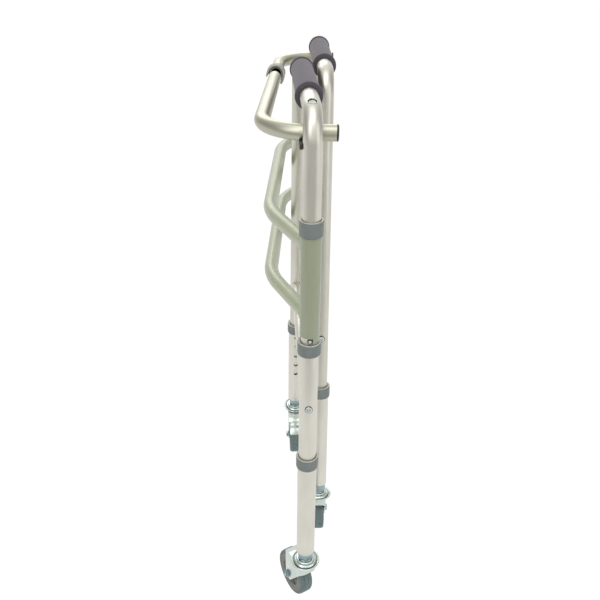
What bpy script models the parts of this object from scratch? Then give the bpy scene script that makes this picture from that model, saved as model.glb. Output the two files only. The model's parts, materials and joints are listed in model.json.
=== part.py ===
"""Folding four-wheel walker, shown folded, as separate named pieces with their joint axes.

Metres, +Z up. The front brace runs along Y between the two front legs, the walker's front faces -X,
its rear faces +X, and the user's left side is -Y. The origin is the middle of the folded walker's
bounding box, at floor level.
"""
import bpy
import bmesh
from math import cos, pi, radians, sin, tan
from mathutils import Matrix, Vector

MM = 0.001

# Overall layout: depth is between the leg axes at the side brace, and the rear leg's foot is further back
BRACE_WIDTH = 600 * MM
FRAME_DEPTH = 400 * MM
REAR_LEAN = radians(6.84)
LEFT_FOLD_ANGLE = radians(94.4)
RIGHT_FOLD_ANGLE = radians(-87.2)
FIT_GAP = 0.3 * MM
PRESS_GAP = 0.2 * MM
RUNNING_GAP = 0.45 * MM
CLEARANCE = 0.5 * MM

# Wheels
TYRE_R = 41.5 * MM
TYRE_WIDTH = 25 * MM
TYRE_SHOULDER = 4.0 * MM
TYRE_SHOULDER_DROP = 3.0 * MM
TYRE_SEGMENTS = 28
AXLE_Z = TYRE_R * cos(pi / TYRE_SEGMENTS)
CORE_R = 29 * MM
CORE_WIDTH = TYRE_WIDTH - 2 * MM
CORE_RECESS_R = 23 * MM
CORE_RECESS = 3.0 * MM
CORE_BOSS_R = 9.0 * MM
AXLE_R = 3.9 * MM
AXLE_HEAD_R = 6.8 * MM
AXLE_HEAD_HEIGHT = 4.5 * MM

# Castor forks and stems
TRAIL = 33 * MM
WHEEL_SIDE_GAP = 0.9 * MM
WHEEL_WEB_GAP = 5 * MM
WHEEL_TOP_GAP = 5 * MM
FORK_PLATE = 2.5 * MM
FORK_INNER_HALF = TYRE_WIDTH / 2 + WHEEL_SIDE_GAP
FORK_LEAD = TYRE_R - TRAIL + WHEEL_WEB_GAP + FORK_PLATE
FORK_TAIL = 44 * MM
FORK_BOSS_R = 10 * MM
FORK_WEB_END_Z = 2 * TYRE_R + 1 * MM
KINGPIN_R = 6.0 * MM
KINGPIN_END_Z = 2 * TYRE_R + WHEEL_TOP_GAP
KINGPIN_HEAD_R = 10.0 * MM
KINGPIN_HEAD_HEIGHT = 3.0 * MM
FORK_CROWN_BOTTOM_Z = KINGPIN_END_Z + KINGPIN_HEAD_HEIGHT + 4 * MM
FORK_CROWN_TOP_Z = FORK_CROWN_BOTTOM_Z + 4 * MM
SWIVEL_R = 25 * MM
SWIVEL_CROWN_R = 18.5 * MM
SWIVEL_RIM_Z = FORK_CROWN_TOP_Z + 2.5 * MM
SWIVEL_TOP_Z = SWIVEL_RIM_Z + 4.5 * MM
RACE_R = 16.4 * MM
RACE_HEIGHT = 5 * MM
RACE_BOTTOM_Z = SWIVEL_TOP_Z + FIT_GAP
NUT_R = 14.8 * MM
NUT_HEIGHT = 16.4 * MM
NUT_TOP_Z = RACE_BOTTOM_Z + RACE_HEIGHT + NUT_HEIGHT
STEM_LENGTH = 30 * MM
CASTOR_TURNS = {"left_front": 27.6, "left_rear": 180.0, "right_front": 157.2, "right_rear": 180.0}

# Side frame tube: an inverted U with a tight bend over each leg
FRAME_R = 12.7 * MM
FRAME_WALL = 1.5 * MM
FRAME_TOP_Z = 888 * MM
FRAME_BEND_R = 38 * MM

# Extension tube that carries the front leg on below the fold hinge
EXTENSION_WALL = 1.1 * MM
EXTENSION_BORE_R = FRAME_R + PRESS_GAP
EXTENSION_R = EXTENSION_BORE_R + EXTENSION_WALL

# Lower legs, their collars and height buttons
LOWER_LEG_WALL = 1.1 * MM
LOWER_LEG_BORE_R = EXTENSION_R + FIT_GAP
LOWER_LEG_R = LOWER_LEG_BORE_R + LOWER_LEG_WALL
LOWER_LEG_LENGTH = 212 * MM
LOWER_LEG_END_Z = NUT_TOP_Z + FIT_GAP
LOWER_LEG_TOP_Z = LOWER_LEG_END_Z + LOWER_LEG_LENGTH
LEG_COLLAR_WALL = 2.1 * MM
LEG_COLLAR_R = LOWER_LEG_R + FIT_GAP + LEG_COLLAR_WALL
LEG_COLLAR_TOP_Z = LOWER_LEG_TOP_Z + 4 * MM
LEG_COLLAR_HEIGHT = 22 * MM
BUSH_LENGTH = 19 * MM
HOLE_R = 4.2 * MM
HOLE_PITCH = 25.4 * MM
HOLE_COUNT = 5
TOP_HOLE_Z = LOWER_LEG_TOP_Z - LEG_COLLAR_HEIGHT - HOLE_R
BUTTON_HOLE_Z = TOP_HOLE_Z - HOLE_PITCH
HEIGHT_BUTTON_R = HOLE_R - 0.4 * MM
HEIGHT_BUTTON_REACH = 2.2 * MM
PRESS_SLOT_HALF_WIDTH = HOLE_R + 0.4 * MM
HEIGHT_DROP = HOLE_PITCH
HEIGHT_RAISE = 2 * HOLE_PITCH
STEM_R = LOWER_LEG_BORE_R - 0.4 * MM
INNER_TUBE_END_Z = BUTTON_HOLE_Z - 48.4 * MM

# Hand grips
GRIP_WALL = 4.6 * MM
GRIP_R = FRAME_R + FIT_GAP + GRIP_WALL
GRIP_RIM_R = GRIP_R + 1.8 * MM
GRIP_RIM_LENGTH = 7 * MM
GRIP_START = 90 * MM
GRIP_LENGTH = 198 * MM
GRIP_EDGE = 2.0 * MM

# Drain hole in the outer side of the front bend
DRAIN_HOLE_R = 5.6 * MM
DRAIN_HOLE_ANGLE = radians(72)

# Side brace between the legs of one side frame, and the tie rod through it
SIDE_BRACE_R = 11.0 * MM
SIDE_BRACE_WALL = 1.4 * MM
SIDE_BRACE_Z = LEG_COLLAR_TOP_Z + 101 * MM
FRAME_FRONT_END_Z = SIDE_BRACE_Z - 25 * MM
REAR_FOOT_LIFT = AXLE_Z * (1 - cos(REAR_LEAN)) + TRAIL * sin(REAR_LEAN)
REAR_FOOT_X = FRAME_DEPTH + (SIDE_BRACE_Z - REAR_FOOT_LIFT) * tan(REAR_LEAN)
TIE_ROD_R = 3.0 * MM
TIE_ROD_HEAD_R = 4.8 * MM
TIE_ROD_HEAD_HEIGHT = 2.2 * MM

# Hinge sleeves of the front brace and the grey collars above and below them
SLEEVE_WALL = 1.35 * MM
SLEEVE_R = FRAME_R + RUNNING_GAP + SLEEVE_WALL
SLEEVE_LENGTH = 165 * MM
SLEEVE_TOP_Z = FRAME_TOP_Z - 162.4 * MM
SLEEVE_BOTTOM_Z = SLEEVE_TOP_Z - SLEEVE_LENGTH
UPPER_COLLAR_WALL = 3.6 * MM
UPPER_COLLAR_HEIGHT = 23 * MM
LOWER_COLLAR_WALL = 3.1 * MM
LOWER_COLLAR_HEIGHT = 21 * MM
COLLAR_EDGE = 1.6 * MM
COLLAR_DISH = 1.5 * MM
EXTENSION_TOP_Z = SLEEVE_BOTTOM_Z - CLEARANCE - LOWER_COLLAR_HEIGHT / 2

# Fold lock button in its window at the foot of each sleeve
LOCK_BUTTON_R = 3.2 * MM
LOCK_BUTTON_FLANGE = 1.1 * MM
LOCK_BUTTON_FLANGE_THICKNESS = 0.8 * MM
LOCK_BUTTON_REACH = SLEEVE_R + 1.5 * MM
LOCK_BUTTON_Z = SLEEVE_BOTTOM_Z + LOCK_BUTTON_R + 2.6 * MM
LOCK_WINDOW_TOP_Z = LOCK_BUTTON_Z + LOCK_BUTTON_R + 1.4 * MM
LOCK_WINDOW_MARGIN = radians(17)

# Front brace bars
BAR_R = 11.1 * MM
BAR_WALL = 1.4 * MM
UPPER_BAR_Z = SLEEVE_TOP_Z - 17.6 * MM
LOWER_BAR_Z = SLEEVE_BOTTOM_Z + 39.4 * MM
BAR_REACH = 65 * MM
BAR_SLANT_RUN = 131 * MM
BAR_BEND_R = 150 * MM

# Top bar in front of the front legs, in two halves
TOP_BAR_R = 10.8 * MM
TOP_BAR_WALL = 1.5 * MM
TOP_BAR_Z = FRAME_TOP_Z - 31 * MM
TOP_BAR_REACH = 70.5 * MM
TOP_BAR_LEG_GAP = 2.5 * MM
TOP_BAR_CORNER_R = 68 * MM
TOP_BAR_TAIL = 30 * MM
TOP_BAR_JOINT = 384 * MM
SADDLE_PLAY = 2.0 * MM
SADDLE_WALL = 3.6 * MM
SADDLE_R = TOP_BAR_R + SADDLE_PLAY + SADDLE_WALL
SADDLE_LENGTH = 50 * MM
SADDLE_GRIP_LENGTH = 12 * MM
SADDLE_JAW_REACH = 12 * MM
SADDLE_RAKE = 30 * MM
SADDLE_OPEN_HALF_ANGLE = radians(62)
CAP_THICKNESS = 3.0 * MM
CAP_PLUG_LENGTH = 9 * MM
BRACKET_WALL = 3.4 * MM
BRACKET_THICKNESS = 7.0 * MM
BRACKET_FRONT_REACH = 18 * MM
BRACKET_REAR_REACH = 9 * MM
BRACKET_CRADLE = 3.3 * MM

# Facets
ROUND = 16
TUBE_SIDES = 16
BEND_STEPS = 6
SHALLOW_BEND_STEPS = 4
SMALL_ROUND = 12

COLOURS = {
    "tube": ((0.62, 0.60, 0.55), 0.32, 1.0),
    "green": ((0.36, 0.40, 0.30), 0.45, 0.0),
    "collar": ((0.20, 0.205, 0.20), 0.55, 0.0),
    "grip": ((0.13, 0.11, 0.125), 0.6, 0.0),
    "black": ((0.03, 0.03, 0.03), 0.5, 0.0),
    "zinc": ((0.72, 0.76, 0.78), 0.25, 1.0),
    "core": ((0.20, 0.18, 0.15), 0.6, 0.0),
    "tyre": ((0.09, 0.13, 0.13), 0.7, 0.0),
}


def clear_scene():
    for obj in list(bpy.data.objects):
        bpy.data.objects.remove(obj, do_unlink=True)


def material(name):
    mat = bpy.data.materials.get(name)
    if mat:
        return mat
    colour, roughness, metallic = COLOURS[name]
    mat = bpy.data.materials.new(name)
    mat.use_nodes = True
    shader = mat.node_tree.nodes["Principled BSDF"]
    shader.inputs["Base Color"].default_value = (*colour, 1)
    shader.inputs["Roughness"].default_value = roughness
    shader.inputs["Metallic"].default_value = metallic
    return mat


def empty(name, parent=None, location=(0, 0, 0), turn=0.0):
    obj = bpy.data.objects.new(name, None)
    obj.empty_display_size = 0.03
    obj.location = location
    obj.rotation_euler = (0, 0, turn)
    obj.parent = parent
    bpy.context.collection.objects.link(obj)
    return obj


def add_object(name, bm, mat, parent, matrix=Matrix()):
    """Make an object of a bmesh, shaded smooth over shallow edges, under its parent."""
    bmesh.ops.recalc_face_normals(bm, faces=bm.faces)
    mesh = bpy.data.meshes.new(name)
    bm.to_mesh(mesh)
    bm.free()
    mesh.shade_smooth()
    mesh.set_sharp_from_angle(angle=radians(35))
    mesh.materials.append(material(mat))
    obj = bpy.data.objects.new(name, mesh)
    obj.parent = parent
    obj.matrix_basis = matrix
    bpy.context.collection.objects.link(obj)
    return obj


def axis_matrix(direction, origin=(0, 0, 0)):
    """Frame whose local +Z points along a direction."""
    turn = Vector((0, 0, 1)).rotation_difference(Vector(direction).normalized())
    return Matrix.Translation(origin) @ turn.to_matrix().to_4x4()


def ring_radius(radius, angle, hexagonal):
    """Radius of a ring point: round, or on a hexagon with corners at that radius."""
    if not hexagonal:
        return radius
    wrapped = angle % (pi / 3) - pi / 6
    return radius * cos(pi / 6) / cos(wrapped)


def turned(bm, profile, segments=ROUND, closed=False, matrix=Matrix(), hexagonal=(), phase=0.0):
    """Turn a profile of (radius, height) points about Z.

    A closed profile makes an annular body. An open one starts and ends on the axis.
    """
    rings = []
    for index, (radius, height) in enumerate(profile):
        if radius < 1e-7:
            rings.append([bm.verts.new(matrix @ Vector((0, 0, height)))])
            continue
        ring = []
        for step in range(segments):
            angle = 2 * pi * step / segments + phase
            reach = ring_radius(radius, angle, index in hexagonal)
            ring.append(bm.verts.new(matrix @ Vector((reach * cos(angle), reach * sin(angle), height))))
        rings.append(ring)
    pairs = list(zip(rings, rings[1:]))
    if closed:
        pairs.append((rings[-1], rings[0]))
    for lower, upper in pairs:
        for step in range(segments):
            after = (step + 1) % segments
            if len(lower) == 1:
                bm.faces.new((lower[0], upper[after], upper[step]))
            elif len(upper) == 1:
                bm.faces.new((lower[step], lower[after], upper[0]))
            else:
                bm.faces.new((lower[step], lower[after], upper[after], upper[step]))
    return rings


def turned_object(name, profile, mat, parent, matrix=Matrix(), **options):
    bm = bmesh.new()
    turned(bm, profile, **options)
    return add_object(name, bm, mat, parent, matrix)


def tube_profile(inner, outer, low, high, edge=0.0):
    """Closed profile of a plain tube or ring, with its outer edges eased."""
    if edge <= 0:
        return [(inner, low), (outer, low), (outer, high), (inner, high)]
    return [(inner, low), (outer - edge, low), (outer, low + edge), (outer, high - edge),
            (outer - edge, high), (inner, high)]


def rounded_path(points, radius, steps):
    """Polyline through the points with each inner corner rounded to a radius."""
    points = [Vector(point) for point in points]
    path = [points[0]]
    for before, corner, after in zip(points, points[1:], points[2:]):
        inward = (before - corner).normalized()
        outward = (after - corner).normalized()
        half = inward.angle(outward) / 2
        centre = corner + (inward + outward).normalized() * radius / sin(half)
        start = corner + inward * radius / tan(half) - centre
        end = corner + outward * radius / tan(half) - centre
        sweep = start.angle(end)
        for step in range(steps + 1):
            share = step / steps
            mix = start * sin((1 - share) * sweep) + end * sin(share * sweep)
            path.append(centre + mix / sin(sweep))
    path.append(points[-1])
    return path


def swept(bm, path, outer, inner, normal, sides=TUBE_SIDES):
    """Sweep a round tube along a flat path whose plane has the given normal."""
    normal = Vector(normal).normalized()
    shells = []
    for radius in (outer, inner):
        rings = []
        for index, point in enumerate(path):
            back = path[max(index - 1, 0)]
            ahead = path[min(index + 1, len(path) - 1)]
            before = (point - back).normalized() if index else (ahead - point).normalized()
            after = (ahead - point).normalized() if index < len(path) - 1 else before
            tangent = (before + after).normalized()
            side = normal.cross(tangent).normalized()
            stretch = 1 / max(tangent.dot(before), 0.5)
            ring = []
            for step in range(sides):
                angle = 2 * pi * step / sides
                offset = side * cos(angle) * radius * stretch + normal * sin(angle) * radius
                ring.append(bm.verts.new(point + offset))
            rings.append(ring)
        shells.append(rings)
    for rings in shells:
        for lower, upper in zip(rings, rings[1:]):
            for step in range(sides):
                after = (step + 1) % sides
                bm.faces.new((lower[step], lower[after], upper[after], upper[step]))
    for end in (0, -1):
        for step in range(sides):
            after = (step + 1) % sides
            bm.faces.new((shells[0][end][step], shells[0][end][after],
                          shells[1][end][after], shells[1][end][step]))


def prism(bm, outline, low, high, matrix=Matrix()):
    """Extrude an outline of (x, y) points from one height to another."""
    bottom = [bm.verts.new(matrix @ Vector((x, y, low))) for x, y in outline]
    top = [bm.verts.new(matrix @ Vector((x, y, high))) for x, y in outline]
    bm.faces.new(bottom[::-1])
    bm.faces.new(top)
    for index in range(len(outline)):
        after = (index + 1) % len(outline)
        bm.faces.new((bottom[index], bottom[after], top[after], top[index]))


def boolean(obj, tool, operation="DIFFERENCE"):
    """Cut an object with a hidden tool, or join the tool to it."""
    modifier = obj.modifiers.new(tool.name, "BOOLEAN")
    modifier.operation = operation
    modifier.solver = "EXACT"
    modifier.object = tool


def tool_object(name, bm, parent, matrix=Matrix()):
    obj = add_object(name, bm, "black", parent, matrix)
    obj.hide_render = True
    obj.display_type = "WIRE"
    return obj


def rod_tool(name, parent, rods, segments=SMALL_ROUND):
    """Tool of straight rods, each given by its start, direction, radius and length."""
    bm = bmesh.new()
    for start, direction, radius, length in rods:
        turned(bm, [(0, 0), (radius, 0), (radius, length), (0, length)], segments,
               matrix=axis_matrix(direction, start))
    return tool_object(name, bm, parent)


def slot_tool(name, leg, inward):
    """Tool of the upright slot that a height button presses into, in one leg's own frame."""
    outline = []
    for middle, start in ((BUTTON_HOLE_Z + HEIGHT_RAISE, 0.0), (BUTTON_HOLE_Z - HEIGHT_DROP, pi)):
        for step in range(6):
            angle = start + pi * step / 5
            outline.append((PRESS_SLOT_HALF_WIDTH * cos(angle), middle + PRESS_SLOT_HALF_WIDTH * sin(angle)))
    facing = Matrix(((0, 0, inward), (1, 0, 0), (0, 1, 0))).to_4x4()
    bm = bmesh.new()
    prism(bm, outline, 0, 2 * EXTENSION_R, facing)
    return tool_object(name, bm, leg)


def leg_tool(name, parent, places, radius, low, high):
    """Tool of upright round bars at the given (x, y) places, facets in line with the legs."""
    bm = bmesh.new()
    for x, y in places:
        turned(bm, [(0, low), (radius, low), (radius, high), (0, high)],
               matrix=Matrix.Translation((x, y, 0)))
    return tool_object(name, bm, parent)


def sector_tool(name, parent, start, end, radius, low, high):
    """Tool shaped as a slice of pie between two angles."""
    steps = 8
    outline = [(0, 0)]
    for step in range(steps + 1):
        angle = start + (end - start) * step / steps
        outline.append((radius * cos(angle), radius * sin(angle)))
    bm = bmesh.new()
    prism(bm, outline, low, high)
    return tool_object(name, bm, parent)


def build_brace(root):
    """Front brace: two hinge sleeves, two bowed bars and the top bar."""
    half = BRACE_WIDTH / 2
    sleeve_bore = FRAME_R + RUNNING_GAP
    windows = {
        "left": (LEFT_FOLD_ANGLE + pi + LOCK_WINDOW_MARGIN, pi - LOCK_WINDOW_MARGIN),
        "right": (RIGHT_FOLD_ANGLE + pi - LOCK_WINDOW_MARGIN, pi + LOCK_WINDOW_MARGIN),
    }
    for side, y in (("left", -half), ("right", half)):
        place = empty(side + "_hinge_line", root, (0, y, 0))
        profile = tube_profile(sleeve_bore, SLEEVE_R, SLEEVE_BOTTOM_Z, SLEEVE_TOP_Z, 0.6 * MM)
        sleeve = turned_object(side + "_hinge_sleeve", profile, "green", place, closed=True)
        start, end = windows[side]
        window = sector_tool(side + "_lock_window", place, start, end, 2 * SLEEVE_R,
                             SLEEVE_BOTTOM_Z - SLEEVE_R, LOCK_WINDOW_TOP_Z)
        boolean(sleeve, window)

    legs = [(0, -half), (0, half)]
    for name, z in (("upper_front_bar", UPPER_BAR_Z), ("lower_front_bar", LOWER_BAR_Z)):
        corners = [(0, -half, z), (-BAR_REACH, -half + BAR_SLANT_RUN, z),
                   (-BAR_REACH, half - BAR_SLANT_RUN, z), (0, half, z)]
        bm = bmesh.new()
        swept(bm, rounded_path(corners, BAR_BEND_R, SHALLOW_BEND_STEPS), BAR_R, BAR_R - BAR_WALL, (0, 0, 1))
        bar = add_object(name, bm, "green", root)
        boolean(bar, leg_tool(name + "_cope", root, legs, SLEEVE_R + FIT_GAP, z - 0.03, z + 0.03))
    build_top_bar(root, half)


def build_top_bar(root, half):
    """Top bar halves, the saddle over their joint, end caps and pivot brackets."""
    arm_y = half - FRAME_R - TOP_BAR_LEG_GAP - TOP_BAR_R
    joint_y = -half + TOP_BAR_JOINT
    z = TOP_BAR_Z
    left = [(TOP_BAR_TAIL, -arm_y, z), (-TOP_BAR_REACH, -arm_y, z), (-TOP_BAR_REACH, joint_y, z)]
    saddle_y = joint_y - SADDLE_JAW_REACH
    right_start = saddle_y + SADDLE_LENGTH - SADDLE_GRIP_LENGTH - TOP_BAR_WALL
    right = [(-TOP_BAR_REACH, right_start, z), (-TOP_BAR_REACH, arm_y, z), (TOP_BAR_TAIL, arm_y, z)]
    bore = TOP_BAR_R - TOP_BAR_WALL
    cap_profile = [(0, -CAP_PLUG_LENGTH), (bore - FIT_GAP, -CAP_PLUG_LENGTH), (bore - FIT_GAP, FIT_GAP),
                   (TOP_BAR_R, FIT_GAP), (TOP_BAR_R, CAP_THICKNESS * 0.6), (TOP_BAR_R * 0.8, CAP_THICKNESS),
                   (0, CAP_THICKNESS)]
    build_saddle(root, saddle_y)
    bracket_top = z - TOP_BAR_R + BRACKET_CRADLE
    for side, sign, points in (("left", -1, left), ("right", 1, right)):
        path = rounded_path(points, TOP_BAR_CORNER_R, BEND_STEPS)
        bm = bmesh.new()
        swept(bm, path, TOP_BAR_R, bore, (0, 0, 1))
        add_object("top_bar_" + side + "_half", bm, "tube", root)
        bm = bmesh.new()
        swept(bm, path, TOP_BAR_R + FIT_GAP, TOP_BAR_R / 2, (0, 0, 1))
        groove = tool_object(side + "_bracket_groove", bm, root)
        bm = bmesh.new()
        bracket_body(bm, sign, half, arm_y, bracket_top)
        bracket = add_object(side + "_top_bar_bracket", bm, "black", root)
        boolean(bracket, groove)
        place = axis_matrix((1, 0, 0), (TOP_BAR_TAIL, sign * arm_y, z))
        turned_object(side + "_top_bar_cap", cap_profile, "black", root, place)


def build_saddle(root, front_y):
    """C-shaped saddle: it grips the right half of the top bar, and its jaws cradle the left half's end."""
    hollow = SADDLE_R - SADDLE_WALL
    snug = TOP_BAR_R + FIT_GAP
    back = SADDLE_LENGTH - SADDLE_GRIP_LENGTH
    edge = 2 * MM
    profile = [(hollow, 0), (SADDLE_R, 0), (SADDLE_R, SADDLE_LENGTH - edge), (SADDLE_R - edge, SADDLE_LENGTH),
               (snug, SADDLE_LENGTH), (snug, back), (hollow, back - edge)]
    place = axis_matrix((0, 1, 0), (-TOP_BAR_REACH, front_y, TOP_BAR_Z))
    saddle = turned_object("top_bar_saddle", profile, "collar", root, place, closed=True)

    wide = 2 * SADDLE_R
    outline = [(0, 0)]
    for step in range(7):
        angle = -pi / 2 + SADDLE_OPEN_HALF_ANGLE * (step / 3 - 1)
        outline.append((wide * cos(angle), wide * sin(angle)))
    facing = Matrix.Translation(place.translation) @ Matrix(((1, 0, 0), (0, 0, 1), (0, 1, 0))).to_4x4()
    bm = bmesh.new()
    prism(bm, outline, -edge, 2 * SADDLE_LENGTH, facing)
    boolean(saddle, tool_object("saddle_opening", bm, root))

    side_on = Matrix.Translation(place.translation) @ Matrix(((0, 0, 1), (1, 0, 0), (0, 1, 0))).to_4x4()
    slope = SADDLE_RAKE / (2 * SADDLE_R)
    bm = bmesh.new()
    prism(bm, [(-wide, -SADDLE_R), (0, -SADDLE_R), (slope * (wide + SADDLE_R), wide), (-wide, wide)],
          -wide, wide, side_on)
    boolean(saddle, tool_object("saddle_rake", bm, root))


def bracket_body(bm, sign, half, arm_y, top):
    """Block under one arm of the top bar that reaches half way round the front leg."""
    inner = FRAME_R + RUNNING_GAP
    outer = inner + BRACKET_WALL
    steps = 9
    tip = radians(186)
    heel = radians(48)
    arc = []
    for step in range(steps + 1):
        angle = tip + (heel - tip) * step / steps
        arc.append((inner * cos(angle), inner * sin(angle)))
    far = half - arm_y + TOP_BAR_R * 0.75
    outline = arc + [(outer * cos(heel), outer * sin(heel)), (BRACKET_REAR_REACH, far),
                     (-BRACKET_FRONT_REACH * 0.8, far), (-BRACKET_FRONT_REACH, far * 0.8),
                     (-BRACKET_FRONT_REACH, 0.3 * far), (outer * cos(tip), outer * sin(tip))]
    placed = [(x, sign * half - sign * y) for x, y in outline]
    prism(bm, placed if sign < 0 else placed[::-1], top - BRACKET_THICKNESS, top)


def rear_leg_point(run):
    """Point on the leaning rear leg's axis, a run up from its foot."""
    return (REAR_FOOT_X - run * sin(REAR_LEAN), 0, REAR_FOOT_LIFT + run * cos(REAR_LEAN))


def build_side_frame(root, side, y, fold):
    """One side frame with its grip, side brace, collars, lock button and two castor legs."""
    hinge = empty(side + "_fold_axis", root, (0, y, 0), fold)
    front_leg = empty(side + "_front_leg_axis", hinge)
    rear_leg = empty(side + "_rear_leg_axis", hinge, rear_leg_point(0))
    rear_leg.rotation_euler.y = -REAR_LEAN
    rear_corner = rear_leg_point((FRAME_TOP_Z - REAR_FOOT_LIFT) / cos(REAR_LEAN))
    path = rounded_path([(0, 0, FRAME_FRONT_END_Z), (0, 0, FRAME_TOP_Z), rear_corner,
                         rear_leg_point(INNER_TUBE_END_Z)], FRAME_BEND_R, BEND_STEPS)
    bm = bmesh.new()
    swept(bm, path, FRAME_R, FRAME_R - FRAME_WALL, (0, 1, 0), ROUND)
    tube = add_object(side + "_frame_tube", bm, "tube", hinge)

    tie_rod = ((-3 * FRAME_R, 0, SIDE_BRACE_Z), (1, 0, 0), TIE_ROD_R + FIT_GAP, FRAME_DEPTH + 6 * FRAME_R)
    outward = Vector((-cos(DRAIN_HOLE_ANGLE), 0, sin(DRAIN_HOLE_ANGLE)))
    bend_centre = Vector((FRAME_BEND_R, 0, FRAME_TOP_Z - FRAME_BEND_R))
    drills = [tie_rod,
              (bend_centre + outward * FRAME_BEND_R, outward, DRAIN_HOLE_R, 2 * FRAME_R),
              ((-2 * FRAME_R, 0, LOCK_BUTTON_Z), (1, 0, 0), LOCK_BUTTON_R + FIT_GAP, 2 * FRAME_R)]
    boolean(tube, rod_tool(side + "_frame_drills", hinge, drills))
    boolean(tube, slot_tool(side + "_rear_press_slot", rear_leg, -1))

    build_grip(side, hinge)
    build_side_brace(side, hinge, front_leg, rear_leg)
    build_front_leg(side, hinge, tie_rod, front_leg)
    build_lower_leg(side + "_front", front_leg, 1, 0.0)
    build_lower_leg(side + "_rear", rear_leg, -1, REAR_LEAN)


def build_grip(side, hinge):
    bore = FRAME_R + FIT_GAP
    rim = GRIP_RIM_LENGTH
    edge = GRIP_EDGE
    end = GRIP_LENGTH
    profile = [(bore, 0), (GRIP_RIM_R - edge, 0), (GRIP_RIM_R, edge), (GRIP_RIM_R, rim - edge),
               (GRIP_R, rim + edge), (GRIP_R, end - rim - edge), (GRIP_RIM_R, end - rim + edge),
               (GRIP_RIM_R, end - edge), (GRIP_RIM_R - edge, end), (bore, end)]
    place = axis_matrix((1, 0, 0), (GRIP_START, 0, FRAME_TOP_Z))
    turned_object(side + "_grip", profile, "grip", hinge, place, closed=True)


def build_side_brace(side, hinge, front_leg, rear_leg):
    """Horizontal tube between the legs, coped onto them, and the headed tie rod through it."""
    along = axis_matrix((1, 0, 0), (0, 0, SIDE_BRACE_Z))
    bore = SIDE_BRACE_R - SIDE_BRACE_WALL
    profile = tube_profile(bore, SIDE_BRACE_R, 0, FRAME_DEPTH)
    brace = turned_object(side + "_side_brace", profile, "tube", hinge, along, closed=True,
                          segments=TUBE_SIDES)
    for name, leg, leg_r in (("front", front_leg, EXTENSION_R), ("rear", rear_leg, FRAME_R)):
        boolean(brace, leg_tool(side + "_side_brace_" + name + "_cope", leg, [(0, 0)],
                                leg_r + FIT_GAP, SIDE_BRACE_Z - 0.03, SIDE_BRACE_Z + 0.03))

    front = -EXTENSION_R - FIT_GAP
    rear = FRAME_DEPTH + (FRAME_R + TIE_ROD_HEAD_R * sin(REAR_LEAN)) / cos(REAR_LEAN) + FIT_GAP
    height = TIE_ROD_HEAD_HEIGHT
    profile = [(0, front - height), (TIE_ROD_HEAD_R * 0.6, front - height),
               (TIE_ROD_HEAD_R, front - height * 0.5), (TIE_ROD_HEAD_R, front), (TIE_ROD_R, front),
               (TIE_ROD_R, rear), (TIE_ROD_HEAD_R, rear), (TIE_ROD_HEAD_R, rear + height * 0.5),
               (TIE_ROD_HEAD_R * 0.6, rear + height), (0, rear + height)]
    turned_object(side + "_tie_rod", profile, "zinc", hinge, along, segments=SMALL_ROUND)


def collar_profile(bore, outer, low, high):
    """Moulded ring with eased edges and a dished top."""
    edge = COLLAR_EDGE
    return [(bore, low), (outer - edge, low), (outer, low + edge), (outer, high - edge * 0.6),
            (outer - edge * 0.6, high), (outer - edge * 1.4, high), (bore, high - COLLAR_DISH)]


def build_front_leg(side, hinge, tie_rod, front_leg):
    """Extension tube, the collars above and below the hinge sleeve, and the lock button."""
    profile = tube_profile(EXTENSION_BORE_R, EXTENSION_R, INNER_TUBE_END_Z, EXTENSION_TOP_Z)
    extension = turned_object(side + "_front_leg_extension", profile, "tube", hinge, closed=True)
    boolean(extension, rod_tool(side + "_extension_drills", hinge, [tie_rod]))
    boolean(extension, slot_tool(side + "_front_press_slot", front_leg, 1))

    bore = FRAME_R + FIT_GAP
    low = SLEEVE_TOP_Z + CLEARANCE
    profile = collar_profile(bore, bore + UPPER_COLLAR_WALL, low, low + UPPER_COLLAR_HEIGHT)
    turned_object(side + "_upper_collar", profile, "collar", hinge, closed=True)

    high = SLEEVE_BOTTOM_Z - CLEARANCE
    low = high - LOWER_COLLAR_HEIGHT
    step = EXTENSION_TOP_Z + FIT_GAP
    wide_bore = EXTENSION_R + FIT_GAP
    outer = collar_profile(bore, wide_bore + LOWER_COLLAR_WALL, low, high)
    profile = [(wide_bore, low)] + outer[1:] + [(bore, step), (wide_bore, step)]
    turned_object(side + "_lower_collar", profile, "collar", hinge, closed=True)

    seat = FRAME_R - FRAME_WALL - 1.1 * MM
    back = seat - LOCK_BUTTON_FLANGE_THICKNESS
    rim = LOCK_BUTTON_R + LOCK_BUTTON_FLANGE
    tip = LOCK_BUTTON_REACH
    profile = [(0, back), (rim, back), (rim, seat), (LOCK_BUTTON_R, seat), (LOCK_BUTTON_R, tip - 1 * MM),
               (LOCK_BUTTON_R * 0.7, tip), (0, tip)]
    place = axis_matrix((-1, 0, 0), (0, 0, LOCK_BUTTON_Z))
    turned_object(side + "_fold_lock_button", profile, "zinc", hinge, place, segments=SMALL_ROUND)


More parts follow.
